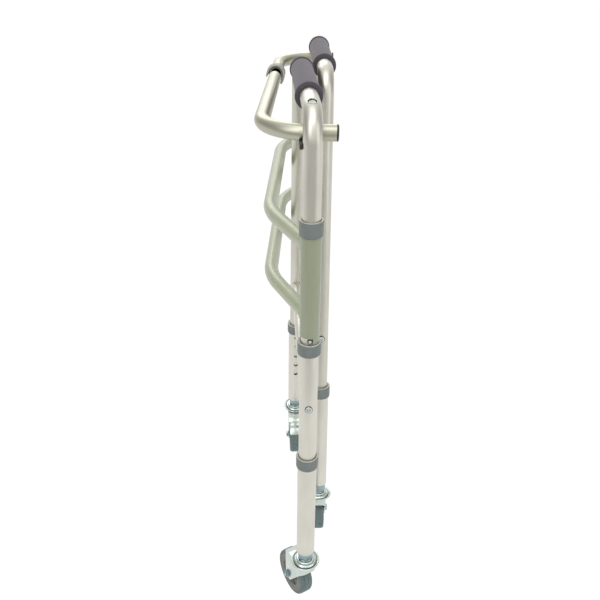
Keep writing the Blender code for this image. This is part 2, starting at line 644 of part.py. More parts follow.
def build_lower_leg(name, leg, inward, lean):
    """Telescopic castor leg with its collar, height button and castor."""
    carrier_r = EXTENSION_R if inward > 0 else FRAME_R
    profile = tube_profile(LOWER_LEG_BORE_R, LOWER_LEG_R, LOWER_LEG_END_Z, LOWER_LEG_TOP_Z)
    tube = turned_object(name + "_lower_leg", profile, "tube", leg, closed=True)
    holes = []
    for step in range(HOLE_COUNT):
        holes.append(((0, 0, TOP_HOLE_Z - step * HOLE_PITCH), (inward, 0, 0), HOLE_R, 2 * LOWER_LEG_R))
    boolean(tube, rod_tool(name + "_leg_holes", leg, holes, 10))

    low = LEG_COLLAR_TOP_Z - LEG_COLLAR_HEIGHT
    lip = LOWER_LEG_TOP_Z + FIT_GAP
    bore = carrier_r + FIT_GAP
    profile = collar_profile(LOWER_LEG_R + FIT_GAP, LEG_COLLAR_R, low, LEG_COLLAR_TOP_Z)
    profile[-1] = (bore, LEG_COLLAR_TOP_Z - COLLAR_DISH)
    if inward > 0:
        profile += [(bore, lip)]
    else:
        skirt = LOWER_LEG_TOP_Z - BUSH_LENGTH
        thick = LOWER_LEG_BORE_R - FIT_GAP
        profile += [(bore, skirt), (thick, skirt), (thick, lip)]
    profile += [(LOWER_LEG_R + FIT_GAP, lip)]
    turned_object(name + "_leg_collar", profile, "collar", leg, closed=True)

    root_r = LOWER_LEG_BORE_R + 0.05 * MM
    tip_r = LOWER_LEG_R + HEIGHT_BUTTON_REACH
    profile = [(0, root_r), (HEIGHT_BUTTON_R, root_r), (HEIGHT_BUTTON_R, tip_r - 1.2 * MM),
               (HEIGHT_BUTTON_R * 0.6, tip_r), (0, tip_r)]
    place = axis_matrix((inward, 0, 0), (0, 0, BUTTON_HOLE_Z))
    turned_object(name + "_height_button", profile, "zinc", leg, place, segments=SMALL_ROUND)
    build_castor(name, leg, lean)


def build_castor(name, leg, lean):
    """Stem with nut and race, swivel fork, axle bolt, wheel core and tyre."""
    race_top = RACE_BOTTOM_Z + RACE_HEIGHT
    head_top = KINGPIN_END_Z + KINGPIN_HEAD_HEIGHT
    stem_top = NUT_TOP_Z + STEM_LENGTH
    profile = [(0, KINGPIN_END_Z), (KINGPIN_HEAD_R, KINGPIN_END_Z), (KINGPIN_HEAD_R, head_top),
               (KINGPIN_R, head_top), (KINGPIN_R, RACE_BOTTOM_Z), (RACE_R, RACE_BOTTOM_Z),
               (RACE_R, race_top - 1 * MM), (RACE_R - 1 * MM, race_top), (NUT_R, race_top),
               (NUT_R, NUT_TOP_Z), (STEM_R, NUT_TOP_Z), (STEM_R, stem_top), (0, stem_top)]
    turned_object(name + "_castor_stem", profile, "zinc", leg)

    swivel = empty(name + "_swivel_axis", leg, (0, 0, 0), radians(CASTOR_TURNS[name]))
    build_fork(name, swivel)

    seat = FORK_INNER_HALF + FORK_PLATE + FIT_GAP
    tip = seat + AXLE_HEAD_HEIGHT
    profile = [(0, -tip), (AXLE_HEAD_R, -tip), (AXLE_HEAD_R, -seat), (AXLE_R, -seat), (AXLE_R, seat),
               (AXLE_HEAD_R, seat), (AXLE_HEAD_R, tip), (0, tip)]
    turned_object(name + "_axle_bolt", profile, "zinc", swivel, axis_matrix((0, 1, 0), (TRAIL, 0, AXLE_Z)),
                  segments=SMALL_ROUND, hexagonal=(1, 2, 5, 6))

    wheel = empty(name + "_wheel_axis", swivel, (TRAIL, 0, AXLE_Z))
    wheel.rotation_euler.y = -lean
    across = axis_matrix((0, 1, 0))
    side = CORE_WIDTH / 2
    bore = AXLE_R + CLEARANCE
    boss = FORK_INNER_HALF - RUNNING_GAP
    profile = [(bore, -boss), (CORE_BOSS_R, -boss), (CORE_BOSS_R, -side + CORE_RECESS),
               (CORE_RECESS_R, -side + CORE_RECESS), (CORE_RECESS_R, -side), (CORE_R, -side),
               (CORE_R, side), (CORE_RECESS_R, side), (CORE_RECESS_R, side - CORE_RECESS),
               (CORE_BOSS_R, side - CORE_RECESS), (CORE_BOSS_R, boss), (bore, boss)]
    turned_object(name + "_wheel_core", profile, "core", wheel, across, closed=True)

    edge = TYRE_WIDTH / 2
    shoulder = TYRE_R - TYRE_SHOULDER_DROP
    tread = edge - TYRE_SHOULDER
    profile = [(CORE_R + FIT_GAP, -edge), (shoulder, -edge), (TYRE_R, -tread), (TYRE_R, tread),
               (shoulder, edge), (CORE_R + FIT_GAP, edge)]
    turned_object(name + "_tyre", profile, "tyre", wheel, across, closed=True, segments=TYRE_SEGMENTS,
                  phase=pi / TYRE_SEGMENTS)


def fork_outline():
    """Side view of the fork as (x, z) points: crown, leading web edge and the round axle boss."""
    points = [(FORK_TAIL, FORK_CROWN_TOP_Z), (-FORK_LEAD, FORK_CROWN_TOP_Z), (-FORK_LEAD, FORK_WEB_END_Z)]
    steps = 6
    start = radians(222)
    end = radians(385)
    for step in range(steps + 1):
        angle = start + (end - start) * step / steps
        points.append((TRAIL + FORK_BOSS_R * cos(angle), AXLE_Z + FORK_BOSS_R * sin(angle)))
    return points


def build_fork(name, swivel):
    """Pressed fork: side plates, crown and leading web in one, under the domed swivel plate."""
    upright = Matrix(((1, 0, 0), (0, 0, -1), (0, 1, 0))).to_4x4()
    outer_half = FORK_INNER_HALF + FORK_PLATE
    bm = bmesh.new()
    prism(bm, fork_outline(), -outer_half, outer_half, upright)
    fork = add_object(name + "_fork", bm, "zinc", swivel)

    bm = bmesh.new()
    beyond = TRAIL + 2 * FORK_BOSS_R
    web = -FORK_LEAD + FORK_PLATE
    inner = [(beyond, FORK_CROWN_BOTTOM_Z), (web, FORK_CROWN_BOTTOM_Z), (web, 0), (beyond, 0)]
    prism(bm, inner, -FORK_INNER_HALF, FORK_INNER_HALF, upright)
    boolean(fork, tool_object(name + "_fork_inside", bm, swivel))

    plate = [(0, FORK_CROWN_TOP_Z - 1 * MM), (SWIVEL_R, FORK_CROWN_TOP_Z - 1 * MM), (SWIVEL_R, SWIVEL_RIM_Z),
             (SWIVEL_CROWN_R, SWIVEL_TOP_Z), (0, SWIVEL_TOP_Z)]
    bm = bmesh.new()
    turned(bm, plate)
    boolean(fork, tool_object(name + "_swivel_plate", bm, swivel), "UNION")

    drills = [((0, 0, KINGPIN_END_Z), (0, 0, 1), KINGPIN_R + CLEARANCE, 2 * SWIVEL_R),
              ((TRAIL, -2 * outer_half, AXLE_Z), (0, 1, 0), AXLE_R + FIT_GAP, 4 * outer_half)]
    boolean(fork, rod_tool(name + "_fork_drills", swivel, drills, ROUND))


def centre_on_floor(root):
    """Move the walker so that its bounding box is centred on the origin and stands on Z = 0."""
    bpy.context.view_layer.update()
    low = Vector((1e9, 1e9, 1e9))
    high = -low
    depsgraph = bpy.context.evaluated_depsgraph_get()
    for obj in bpy.context.scene.objects:
        if obj.type != "MESH" or obj.hide_render:
            continue
        evaluated = obj.evaluated_get(depsgraph)
        for vertex in evaluated.to_mesh().vertices:
            place = obj.matrix_world @ vertex.co
            low = Vector(map(min, low, place))
            high = Vector(map(max, high, place))
        evaluated.to_mesh_clear()
    root.location = (-(low.x + high.x) / 2, -(low.y + high.y) / 2, -low.z)
    bpy.context.view_layer.update()


def main():
    clear_scene()
    root = empty("walker")
    build_brace(root)
    build_side_frame(root, "left", -BRACE_WIDTH / 2, LEFT_FOLD_ANGLE)
    build_side_frame(root, "right", BRACE_WIDTH / 2, RIGHT_FOLD_ANGLE)
    centre_on_floor(root)


main()
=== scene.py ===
"""Looks of the folding four-wheel walker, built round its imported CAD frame. Metres, +Z up."""
import json
from math import atan2, cos, pi, radians, sin, sqrt, tan

import bmesh
import bpy
import numpy as np
from mathutils import Matrix, Vector


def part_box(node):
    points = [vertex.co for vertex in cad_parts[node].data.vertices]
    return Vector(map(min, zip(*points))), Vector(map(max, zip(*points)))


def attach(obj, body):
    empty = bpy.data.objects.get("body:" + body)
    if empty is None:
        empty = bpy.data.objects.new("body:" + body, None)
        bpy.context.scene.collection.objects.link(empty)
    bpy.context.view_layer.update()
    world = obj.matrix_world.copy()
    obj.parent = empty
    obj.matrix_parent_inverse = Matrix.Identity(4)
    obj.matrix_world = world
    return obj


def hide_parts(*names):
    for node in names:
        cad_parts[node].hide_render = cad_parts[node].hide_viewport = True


MM = 0.001
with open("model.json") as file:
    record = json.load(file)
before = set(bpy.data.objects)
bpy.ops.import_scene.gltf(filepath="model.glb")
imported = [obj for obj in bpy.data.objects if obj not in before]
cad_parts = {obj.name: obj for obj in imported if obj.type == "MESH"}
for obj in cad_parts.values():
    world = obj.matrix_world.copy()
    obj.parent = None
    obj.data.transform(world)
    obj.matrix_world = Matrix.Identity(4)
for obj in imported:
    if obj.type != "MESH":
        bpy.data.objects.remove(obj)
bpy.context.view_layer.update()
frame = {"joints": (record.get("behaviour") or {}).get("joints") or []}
joints = {joint["name"]: joint for joint in frame["joints"]}
SIDES = ("left", "right")
LEGS = ("front", "rear")

# Sizes of the visible tubes and fittings
TUBE_R = 12.7 * MM
TUBE_WALL = 1.5 * MM
THIN_WALL = 1.4 * MM
SLEEVE_R = 14.5 * MM
EXTENSION_R = 14.0 * MM
LOWER_LEG_R = 15.4 * MM
BAR_R = 11.1 * MM
BAR_REACH = 65 * MM
BAR_SLANT_RUN = 131 * MM
BAR_BEND_R = 150 * MM
TOP_BAR_R = 10.8 * MM
TOP_BAR_REACH = 70.5 * MM
TOP_BAR_CORNER_R = 68 * MM
TOP_BAR_TAIL = 30 * MM
TOP_BAR_JOINT_GAP = 10 * MM
FRAME_BEND_R = 38 * MM
BRACE_TUBE_R = 11.0 * MM
GRIP_R = 17.6 * MM
GRIP_RIM_R = 19.4 * MM
GRIP_START = 90 * MM
GRIP_LENGTH = 198 * MM
DRAIN_ANGLE = radians(72)
DRAIN_R = 6.4 * MM
HOLE_PITCH = 25.4 * MM
HEIGHT_HOLES = 5
HEIGHT_HOLE_R = 4.2 * MM
HEIGHT_RAISE = 2 * HOLE_PITCH
PRESS_HOLE_R = 4.4 * MM
LOCK_HOLE_R = 3.5 * MM
INNER_TUBE_TAIL = 30 * MM
RACE_Z = 106.3 * MM
NUT_TOP_Z = 127.7 * MM
FORK_CROWN_Z = 99 * MM
RIM_R = 29.3 * MM
TYRE_HALF_WIDTH = 12.5 * MM
TOOL_REACH = 0.03
ROUND = 64
PAPER_WHITE = 1.07
CAMERA_LENS = 41.244
CAMERA_AT = (0.02599, -1.16974, 1.09321)
CAMERA_YAW, CAMERA_PITCH, CAMERA_ROLL = radians(1.349), radians(28.863), radians(0.605)
# Turn that stands an outline up, with its Y along Z
UPRIGHT = Matrix(((1, 0, 0), (0, 0, -1), (0, 1, 0))).to_4x4()


def colour(red, green, blue):
    """Linear colour of a screen colour given as 0 to 255."""
    parts = [value / 255 for value in (red, green, blue)]
    return tuple(p / 12.92 if p < 0.04045 else ((p + 0.055) / 1.055) ** 2.4 for p in parts) + (1,)


# Materials: every one has its grain at real scale, laid along its tube
class Nodes:
    """Short way to build the node tree of a material, or of another owner that is given."""

    def __init__(self, name, owner=None):
        self.owner = owner or bpy.data.materials.new(name)
        self.owner.use_nodes = True
        self.tree = self.owner.node_tree
        self.shader = self.tree.nodes.get("Principled BSDF")

    def feed(self, node, key, value):
        """Link another node's output to an input, or set the input to a value."""
        if isinstance(value, bpy.types.NodeSocket):
            self.tree.links.new(value, node.inputs[key])
        else:
            node.inputs[key].default_value = value

    def add(self, kind, inputs=(), **settings):
        """New node with those settings and inputs."""
        node = self.tree.nodes.new(kind)
        for key, value in settings.items():
            setattr(node, key, value)
        for key, value in dict(inputs).items():
            self.feed(node, key, value)
        return node

    def noise(self, scale, detail=4.0, rough=0.55, stretch=(1, 1, 1)):
        """Noise with so many features per metre, over the piece's laid-out coordinates."""
        lay = self.add("ShaderNodeAttribute", attribute_name="lay")
        mapping = self.add("ShaderNodeMapping", {"Vector": lay.outputs["Vector"], "Scale": stretch})
        return self.add("ShaderNodeTexNoise", {"Vector": mapping.outputs[0], "Scale": scale,
                                               "Detail": detail, "Roughness": rough}).outputs["Fac"]

    def spread(self, value, low, high, start=0.3, end=0.7):
        """The value mapped from one range to another."""
        return self.add("ShaderNodeMapRange", {"Value": value, "From Min": start, "From Max": end,
                                               "To Min": low, "To Max": high}).outputs["Result"]

    def blend(self, factor, first, second):
        """Mix of two colours."""
        return self.add("ShaderNodeMix", {0: factor, 6: first, 7: second}, data_type="RGBA").outputs[2]

    def bump(self, height, depth, below=None):
        """Normal of a relief with that depth in metres, over another normal if one is given."""
        inputs = {"Height": height, "Distance": depth, "Strength": 1.0}
        if below is not None:
            inputs["Normal"] = below
        return self.add("ShaderNodeBump", inputs).outputs["Normal"]

    def camera_or_glossy(self, light):
        """1 for what the camera sees at once or in a reflection, by a light path node."""
        rays = {0: light.outputs["Is Camera Ray"], 1: light.outputs["Is Glossy Ray"]}
        return self.add("ShaderNodeMath", rays, operation="MAXIMUM")

    def finish(self, base, roughness, normal, **values):
        """Feed the shader; the names of further inputs have _ for each space."""
        values.update(Base_Color=base, Roughness=roughness, Normal=normal)
        for key, value in values.items():
            if value is not None:
                self.feed(self.shader, key.replace("_", " "), value)
        return self.owner


def make_aluminium(name, dark, light):
    """Satin anodised tube: drawing lines along it, faint cloudy tint."""
    n = Nodes(name)
    lines = n.noise(1.0, 3.0, 0.6, (1500, 1500, 14))
    cloud = n.noise(1.0, 3.0, 0.5, (40, 40, 14))
    base = n.blend(n.spread(cloud, 0, 1), dark, light)
    rough = n.spread(lines, 0.32, 0.44)
    return n.finish(base, rough, n.bump(lines, 0.000012), Metallic=1.0)


def make_paint(name, dark, light):
    """Grey-green metallic paint with a slight orange peel under a clear coat."""
    n = Nodes(name)
    peel = n.noise(420, 2.0)
    flake = n.noise(5200, 1.0)
    base = n.blend(n.spread(flake, 0, 1, 0.35, 0.65), dark, light)
    rough = n.spread(peel, 0.36, 0.46)
    return n.finish(base, rough, n.bump(peel, 0.00004), Metallic=0.15, Coat_Weight=0.35, Coat_Roughness=0.18)


def make_plastic(name, dark, light, rough_low, rough_high):
    """Moulded plastic with a fine spark-eroded grain."""
    n = Nodes(name)
    grain = n.noise(2600, 2.0)
    cloud = n.noise(60, 3.0)
    base = n.blend(n.spread(cloud, 0, 1), dark, light)
    return n.finish(base, n.spread(grain, rough_low, rough_high), n.bump(grain, 0.00003))


def make_grip():
    """Soft vinyl foam: fine pores over broad mottling, with a little sheen."""
    n = Nodes("grip_rubber")
    pores = n.noise(1900, 5.0, 0.7)
    mottle = n.noise(170, 4.0, 0.6)
    dust = n.blend(n.spread(mottle, 0, 1), colour(82, 76, 86), colour(98, 91, 101))
    base = n.blend(n.spread(pores, 0, 0.5, 0.30, 0.5), colour(60, 55, 64), dust)
    normal = n.bump(mottle, 0.00012, n.bump(pores, 0.00008))
    return n.finish(base, n.spread(pores, 0.72, 0.9), normal, Sheen_Weight=0.25, Sheen_Roughness=0.5)


def make_zinc(name, dark, light, rough):
    """Bright zinc plate, tinted in patches."""
    n = Nodes(name)
    patch = n.noise(45, 3.0, 0.5)
    grain = n.noise(900, 3.0)
    base = n.blend(n.spread(patch, 0, 1), dark, light)
    return n.finish(base, n.spread(grain, rough, rough + 0.08), n.bump(grain, 0.000004), Metallic=1.0)


def make_tyre():
    """Grey-teal thermoplastic rubber, slightly scuffed on the tread."""
    n = Nodes("tyre_rubber")
    grain = n.noise(1500, 4.0, 0.6)
    scuff = n.noise(140, 5.0, 0.65)
    base = n.blend(n.spread(scuff, 0, 1, 0.35, 0.7), colour(98, 119, 118), colour(124, 143, 141))
    return n.finish(base, n.spread(grain, 0.52, 0.7), n.bump(grain, 0.00005))


SHADES = (
    ("brushed_aluminium", make_aluminium, (209, 206, 196), (219, 216, 206)),
    ("champagne_aluminium", make_aluminium, (200, 198, 186), (212, 210, 198)),
    ("top_bar_aluminium", make_aluminium, (176, 175, 158), (190, 189, 172)),
    ("green_paint", make_paint, (155, 163, 137), (165, 173, 146)),
    # Lighter copy of the green paint for the bent bars and their welds: painted top light.
    ("light_green_paint", make_paint, (178, 184, 156), (190, 196, 168)),
    ("grey_plastic", make_plastic, (120, 128, 125), (132, 138, 135), 0.42, 0.56),
    ("saddle_plastic", make_plastic, (156, 155, 144), (172, 170, 158), 0.36, 0.5),
    # Pale plastic of the lock pins, also used on the collar lips as a painted highlight.
    ("pale_plastic", make_plastic, (196, 198, 190), (210, 211, 202), 0.3, 0.42),
    # Black plastic of the caps, brackets, bushes and screw seals, also used for rings of painted shade on the
    # castors.
    ("black_plastic", make_plastic, (42, 41, 38), (52, 50, 47), 0.36, 0.52),
    ("wheel_core", make_plastic, (117, 118, 109), (131, 131, 121), 0.45, 0.6),
    ("zinc_plate", make_zinc, (188, 200, 194), (207, 214, 209), 0.2),
    ("blue_zinc", make_zinc, (118, 142, 150), (168, 186, 188), 0.2),
)
LOOKS = {}
for name, make, dark, light, *rough in SHADES:
    LOOKS[name] = make(name, colour(*dark), colour(*light), *rough)
LOOKS["grip_rubber"] = make_grip()
LOOKS["tyre_rubber"] = make_tyre()


# Mesh helpers
def in_mm(corners, up=0):
    """Outline or profile corners given in millimetres, raised by a height in metres."""
    return [(x * MM, up + y * MM, *(width * MM for width in rest[:1]), *rest[1:]) for x, y, *rest in corners]


def basis(origin, x, z):
    """Frame with its X and Z along two directions."""
    x, z = Vector(x).normalized(), Vector(z).normalized()
    turn = Matrix((x, z.cross(x), z)).transposed()
    return Matrix.Translation(Vector(origin)) @ turn.to_4x4()


def along(direction, origin=(0, 0, 0)):
    """Frame whose Z points along a direction."""
    turn = Vector((0, 0, 1)).rotation_difference(Vector(direction).normalized())
    return Matrix.Translation(Vector(origin)) @ turn.to_matrix().to_4x4()


def sweep(start, end, steps):
    """Angles from one to another in equal steps, with both."""
    return [start + (end - start) * step / steps for step in range(steps + 1)]


def around(sides):
    """Angles of the corners of a full turn."""
    return sweep(0, 2 * pi, sides)[:-1]


def join_rings(bm, lower, upper):
    """Faces between two rings of vertices, one of which may be a single point."""
    sides = max(len(lower), len(upper))
    for step in range(sides):
        after = (step + 1) % sides
        if len(lower) == 1:
            bm.faces.new((lower[0], upper[after], upper[step]))
        elif len(upper) == 1:
            bm.faces.new((lower[step], lower[after], upper[0]))
        else:
            bm.faces.new((lower[step], lower[after], upper[after], upper[step]))


def eased(corners, closed, steps=4):
    """Points of a profile of (radius, height, rounding, hexagonal) corners with each corner rounded."""
    points = []
    for index, corner in enumerate(corners):
        radius, height, rounding, hexagonal = (tuple(corner) + (0, 0))[:4]
        here = Vector((radius, height))
        if rounding <= 0 or (not closed and index in (0, len(corners) - 1)):
            points.append((radius, height, hexagonal))
            continue
        back = Vector(corners[index - 1][:2]) - here
        ahead = Vector(corners[(index + 1) % len(corners)][:2]) - here
        reach = min(rounding, 0.48 * back.length, 0.48 * ahead.length)
        for step in range(steps + 1):
            share = step / steps
            inward, outward = (1 - share) ** 2, share ** 2
            point = here + back.normalized() * reach * inward + ahead.normalized() * reach * outward
            points.append((point.x, point.y, hexagonal))
    return points


def new_object(name, bm, look, at=Matrix()):
    """Object from a finished bmesh, which is freed; a cutting tool has no look."""
    bmesh.ops.recalc_face_normals(bm, faces=bm.faces)
    mesh = bpy.data.meshes.new(name)
    bm.to_mesh(mesh)
    bm.free()
    obj = bpy.data.objects.new(name, mesh)
    bpy.context.scene.collection.objects.link(obj)
    obj.matrix_world = at
    if look:
        mesh.materials.append(LOOKS[look])
    return obj


def lathe(name, corners, look, at, closed=False, sides=ROUND, phase=0.0):
    """Profile of (radius, height, rounding, hexagonal) corners turned round its frame's Z."""
    bm = bmesh.new()
    rings = []
    for radius, height, hexagonal in eased(corners, closed):
        if radius < 1e-7:
            rings.append([bm.verts.new((0, 0, height))])
            continue
        ring = []
        for turn in around(sides):
            angle = turn + phase
            reach = radius
            if hexagonal:
                reach = radius * cos(pi / 6) / cos(angle % (pi / 3) - pi / 6)
            ring.append(bm.verts.new((reach * cos(angle), reach * sin(angle), height)))
        rings.append(ring)
    if closed:
        rings.append(rings[0])
    for lower, upper in zip(rings, rings[1:]):
        join_rings(bm, lower, upper)
    return new_object(name, bm, look, at)


def rod(name, start, direction, radius, length, at=Matrix(), sides=32):
    """Round cutting tool."""
    corners = [(0, 0), (radius, 0), (radius, length), (0, length)]
    return lathe(name, corners, None, at @ along(direction, start), sides=sides)


def upright_rod(x, y, z, radius, at=Matrix()):
    """Upright cutting tool round a point, for the cope of a tube's end."""
    return rod("cope", (x, y, z - TOOL_REACH), (0, 0, 1), radius, 2 * TOOL_REACH, at, ROUND)


def prism(name, outline, low, high, look, at=Matrix()):
    """Outline of (x, y) points drawn up from one height to another."""
    bm = bmesh.new()
    bottom = [bm.verts.new((x, y, low)) for x, y in outline]
    top = [bm.verts.new((x, y, high)) for x, y in outline]
    bm.faces.new(bottom[::-1])
    bm.faces.new(top)
    join_rings(bm, bottom, top)
    return new_object(name, bm, look, at)


def box_outline(start, end, half_width):
    """Corners of a rectangle along X for a prism."""
    return [(start, -half_width), (end, -half_width), (end, half_width), (start, half_width)]


def bend_path(points, radius, steps=14):
    """Polyline through the points with each inner corner rounded."""
    points = [Vector(point) for point in points]
    path = [points[0]]
    for before, corner, after in zip(points, points[1:], points[2:]):
        inward = (before - corner).normalized()
        outward = (after - corner).normalized()
        half = inward.angle(outward) / 2
        centre = corner + (inward + outward).normalized() * radius / sin(half)
        start = corner + inward * radius / tan(half) - centre
        end = corner + outward * radius / tan(half) - centre
        sweep = start.angle(end)
        for step in range(steps + 1):
            share = step / steps
            spoke = start * sin((1 - share) * sweep) + end * sin(share * sweep)
            path.append(centre + spoke / sin(sweep))
    path.append(points[-1])
    return path


def tube(name, path, normal, outer, inner, look, sides=48):
    """Round tube along a flat path whose plane has that normal."""
    normal = Vector(normal).normalized()
    bm = bmesh.new()
    shells = []
    for radius in (outer, inner):
        rings = []
        for index, point in enumerate(path):
            ahead = path[min(index + 1, len(path) - 1)] - point
            back = point - path[max(index - 1, 0)]
            tangent = (ahead.normalized() + back.normalized()).normalized()
            side = normal.cross(tangent)
            rings.append([bm.verts.new(point + (side * cos(angle) + normal * sin(angle)) * radius)
                          for angle in around(sides)])
        shells.append(rings)
    for rings in shells:
        for lower, upper in zip(rings, rings[1:]):
            join_rings(bm, lower, upper)
    for end in (0, -1):
        join_rings(bm, shells[0][end], shells[1][end])
    return new_object(name, bm, look)


def loop_bead(name, points, radius, look, sides=10, ripple=0.0, ripples=0):
    """Closed round bead along a ring of points, with small ripples as a weld has."""
    bm = bmesh.new()
    count = len(points)
    middle = sum(points, Vector()) / count
    rings = []
    for index, point in enumerate(points):
        tangent = (points[(index + 1) % count] - points[index - 1]).normalized()
        outward = point - middle
        outward = (outward - tangent * outward.dot(tangent)).normalized()
        across = tangent.cross(outward)
        swell = radius * (1 + ripple * cos(2 * pi * ripples * index / count))
        rings.append([bm.verts.new(point + (outward * cos(angle) + across * sin(angle)) * swell)
                      for angle in around(sides)])
    for lower, upper in zip(rings, rings[1:] + rings[:1]):
        join_rings(bm, lower, upper)
    return new_object(name, bm, look)


def bake(obj):
    """Apply an object's modifiers to its mesh."""
    bpy.context.view_layer.update()
    evaluated = obj.evaluated_get(bpy.context.evaluated_depsgraph_get())
    mesh = bpy.data.meshes.new_from_object(evaluated)
    obj.modifiers.clear()
    obj.data = mesh


def combine(obj, tools, operation="DIFFERENCE"):
    """Cut tools out of an object, or join or intersect them with it, and drop the tools."""
    for tool in tools:
        modifier = obj.modifiers.new("cut", "BOOLEAN")
        modifier.operation = operation
        modifier.solver = "EXACT"
        modifier.object = tool
    bake(obj)
    for tool in tools:
        bpy.data.objects.remove(tool, do_unlink=True)


def soften(obj, width, segments=2, angle=40):
    """Round the edges sharper than an angle."""
    modifier = obj.modifiers.new("edges", "BEVEL")
    modifier.width = width
    modifier.segments = segments
    modifier.limit_method = "ANGLE"
    modifier.angle_limit = radians(angle)
    modifier.use_clamp_overlap = True
    bake(obj)


def lay_out(obj, path=None, normal=None):
    """Store each vertex's place along and round its tube, which the grain follows."""
    mesh = obj.data
    co = np.empty(len(mesh.vertices) * 3)
    mesh.vertices.foreach_get("co", co)
    co = co.reshape(-1, 3)
    if path is not None:
        points = np.array([tuple(p) for p in path])
        steps = np.diff(points, axis=0)
        lengths = np.linalg.norm(steps, axis=1)
        runs = np.concatenate([[0], np.cumsum(lengths)])
        best = np.full(len(co), 1e9)
        laid = np.zeros_like(co)
        normal = np.array(normal, float)
        for index, step in enumerate(steps):
            tangent = step / lengths[index]
            away = co - points[index]
            run = np.clip(away @ tangent, 0, lengths[index])
            away = away - run[:, None] * tangent
            distance = np.linalg.norm(away, axis=1)
            nearer = distance < best - 1e-9
            best[nearer] = distance[nearer]
            side = np.cross(normal, tangent)
            place = np.stack([away @ side, away @ normal, runs[index] + run], axis=1)
            laid[nearer] = place[nearer]
        co = laid
    attribute = mesh.attributes.new("lay", "FLOAT_VECTOR", "POINT")
    attribute.data.foreach_set("vector", co.astype(np.float32).ravel())


def piece(obj, body, node, path=None, normal=None, sharp=38):
    """Finish a piece: grain, shading, the body that it rides on and the CAD node it stands for."""
    lay_out(obj, path, normal)
    obj.data.transform(obj.matrix_world)
    obj.matrix_world = Matrix()
    obj.data.shade_smooth()
    obj.data.set_sharp_from_angle(angle=radians(sharp))
    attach(obj, body)
    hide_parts(node)


def span(node):
    """Lowest and highest Z of a CAD node."""
    low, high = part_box(node)
    return low.z, high.z


def spot(joint):
    """Place of a joint."""
    return Vector(joints[joint]["pos_m"])


def heading(joint):
    """Axis of a joint."""
    return Vector(joints[joint]["axis"])


# Front brace: hinge sleeves, bent bars and top bar
hinge = {side: spot(side + "_frame_fold") for side in SIDES}
hinge_foot = {side: Vector((hinge[side].x, hinge[side].y, 0)) for side in SIDES}
hinge_at = {side: Matrix.Translation(hinge_foot[side]) for side in SIDES}
side_at = {side: basis(hinge_foot[side], heading(side + "_lock_button_press"), (0, 0, 1)) for side in SIDES}


def sleeve_window(side):
    """Slice-shaped tool for the window that the lock button passes when the frame unfolds."""
    across = side_at[side].to_3x3().col[0]
    fold = atan2(across.y, across.x)
    margin = radians(17)
    start, end = (fold + pi + margin, pi - margin) if side == "left" else (fold + pi - margin, pi + margin)
    low, _ = span(side + "_hinge_sleeve")
    top = sum(span(side + "_fold_lock_button")) / 2 + 4.6 * MM
    arc = [(TOOL_REACH * cos(angle), TOOL_REACH * sin(angle)) for angle in sweep(start, end, 24)]
    return prism("window", [(0, 0)] + arc, low - 10 * MM, top, None, hinge_at[side])


def make_sleeve(side):
    """Hinge sleeve with the lock button's window in its lower edge."""
    low, high = span(side + "_hinge_sleeve")
    bore = TUBE_R + 0.4 * MM
    corners = [(bore, low, 0.3 * MM), (SLEEVE_R, low, 0.7 * MM),
               (SLEEVE_R, high, 0.7 * MM), (bore, high, 0.3 * MM)]
    obj = lathe(side + "_sleeve", corners, "green_paint", hinge_at[side], closed=True)
    combine(obj, [sleeve_window(side)])
    piece(obj, "front_brace", side + "_hinge_sleeve")


def make_bar(name):
    """Bent bar, coped to both sleeves, with a weld bead round each end."""
    z = sum(span(name)) / 2
    x, left_y, right_y = hinge["left"].x, hinge["left"].y, hinge["right"].y
    corners = [(x, left_y, z), (x - BAR_REACH, left_y + BAR_SLANT_RUN, z),
               (x - BAR_REACH, right_y - BAR_SLANT_RUN, z), (x, right_y, z)]
    path = bend_path(corners, BAR_BEND_R)
    # The bars and welds wear a lighter copy of the sleeves' green paint, which is painted top light.
    obj = tube(name + "_tube", path, (0, 0, 1), BAR_R, BAR_R - THIN_WALL, "light_green_paint")
    combine(obj, [upright_rod(x, y, z, SLEEVE_R + 0.05 * MM) for y in (left_y, right_y)])
    piece(obj, "front_brace", name, path, (0, 0, 1))
    for side, near, far in (("left", corners[0], corners[1]), ("right", corners[3], corners[2])):
        run = (Vector(far) - Vector(near)).normalized()
        across = Vector((-run.y, run.x, 0))
        ring = []
        for angle in around(96):
            offset = (BAR_R + 0.2 * MM) * cos(angle)
            rise = Vector((0, 0, (BAR_R + 0.2 * MM) * sin(angle)))
            reach = sqrt((SLEEVE_R + 0.3 * MM) ** 2 - offset ** 2)
            ring.append(Vector(near) + run * reach + across * offset + rise)
        bead = loop_bead(side + "_" + name + "_weld", ring, 1.7 * MM, "light_green_paint",
                         ripple=0.12, ripples=26)
        piece(bead, "front_brace", name)


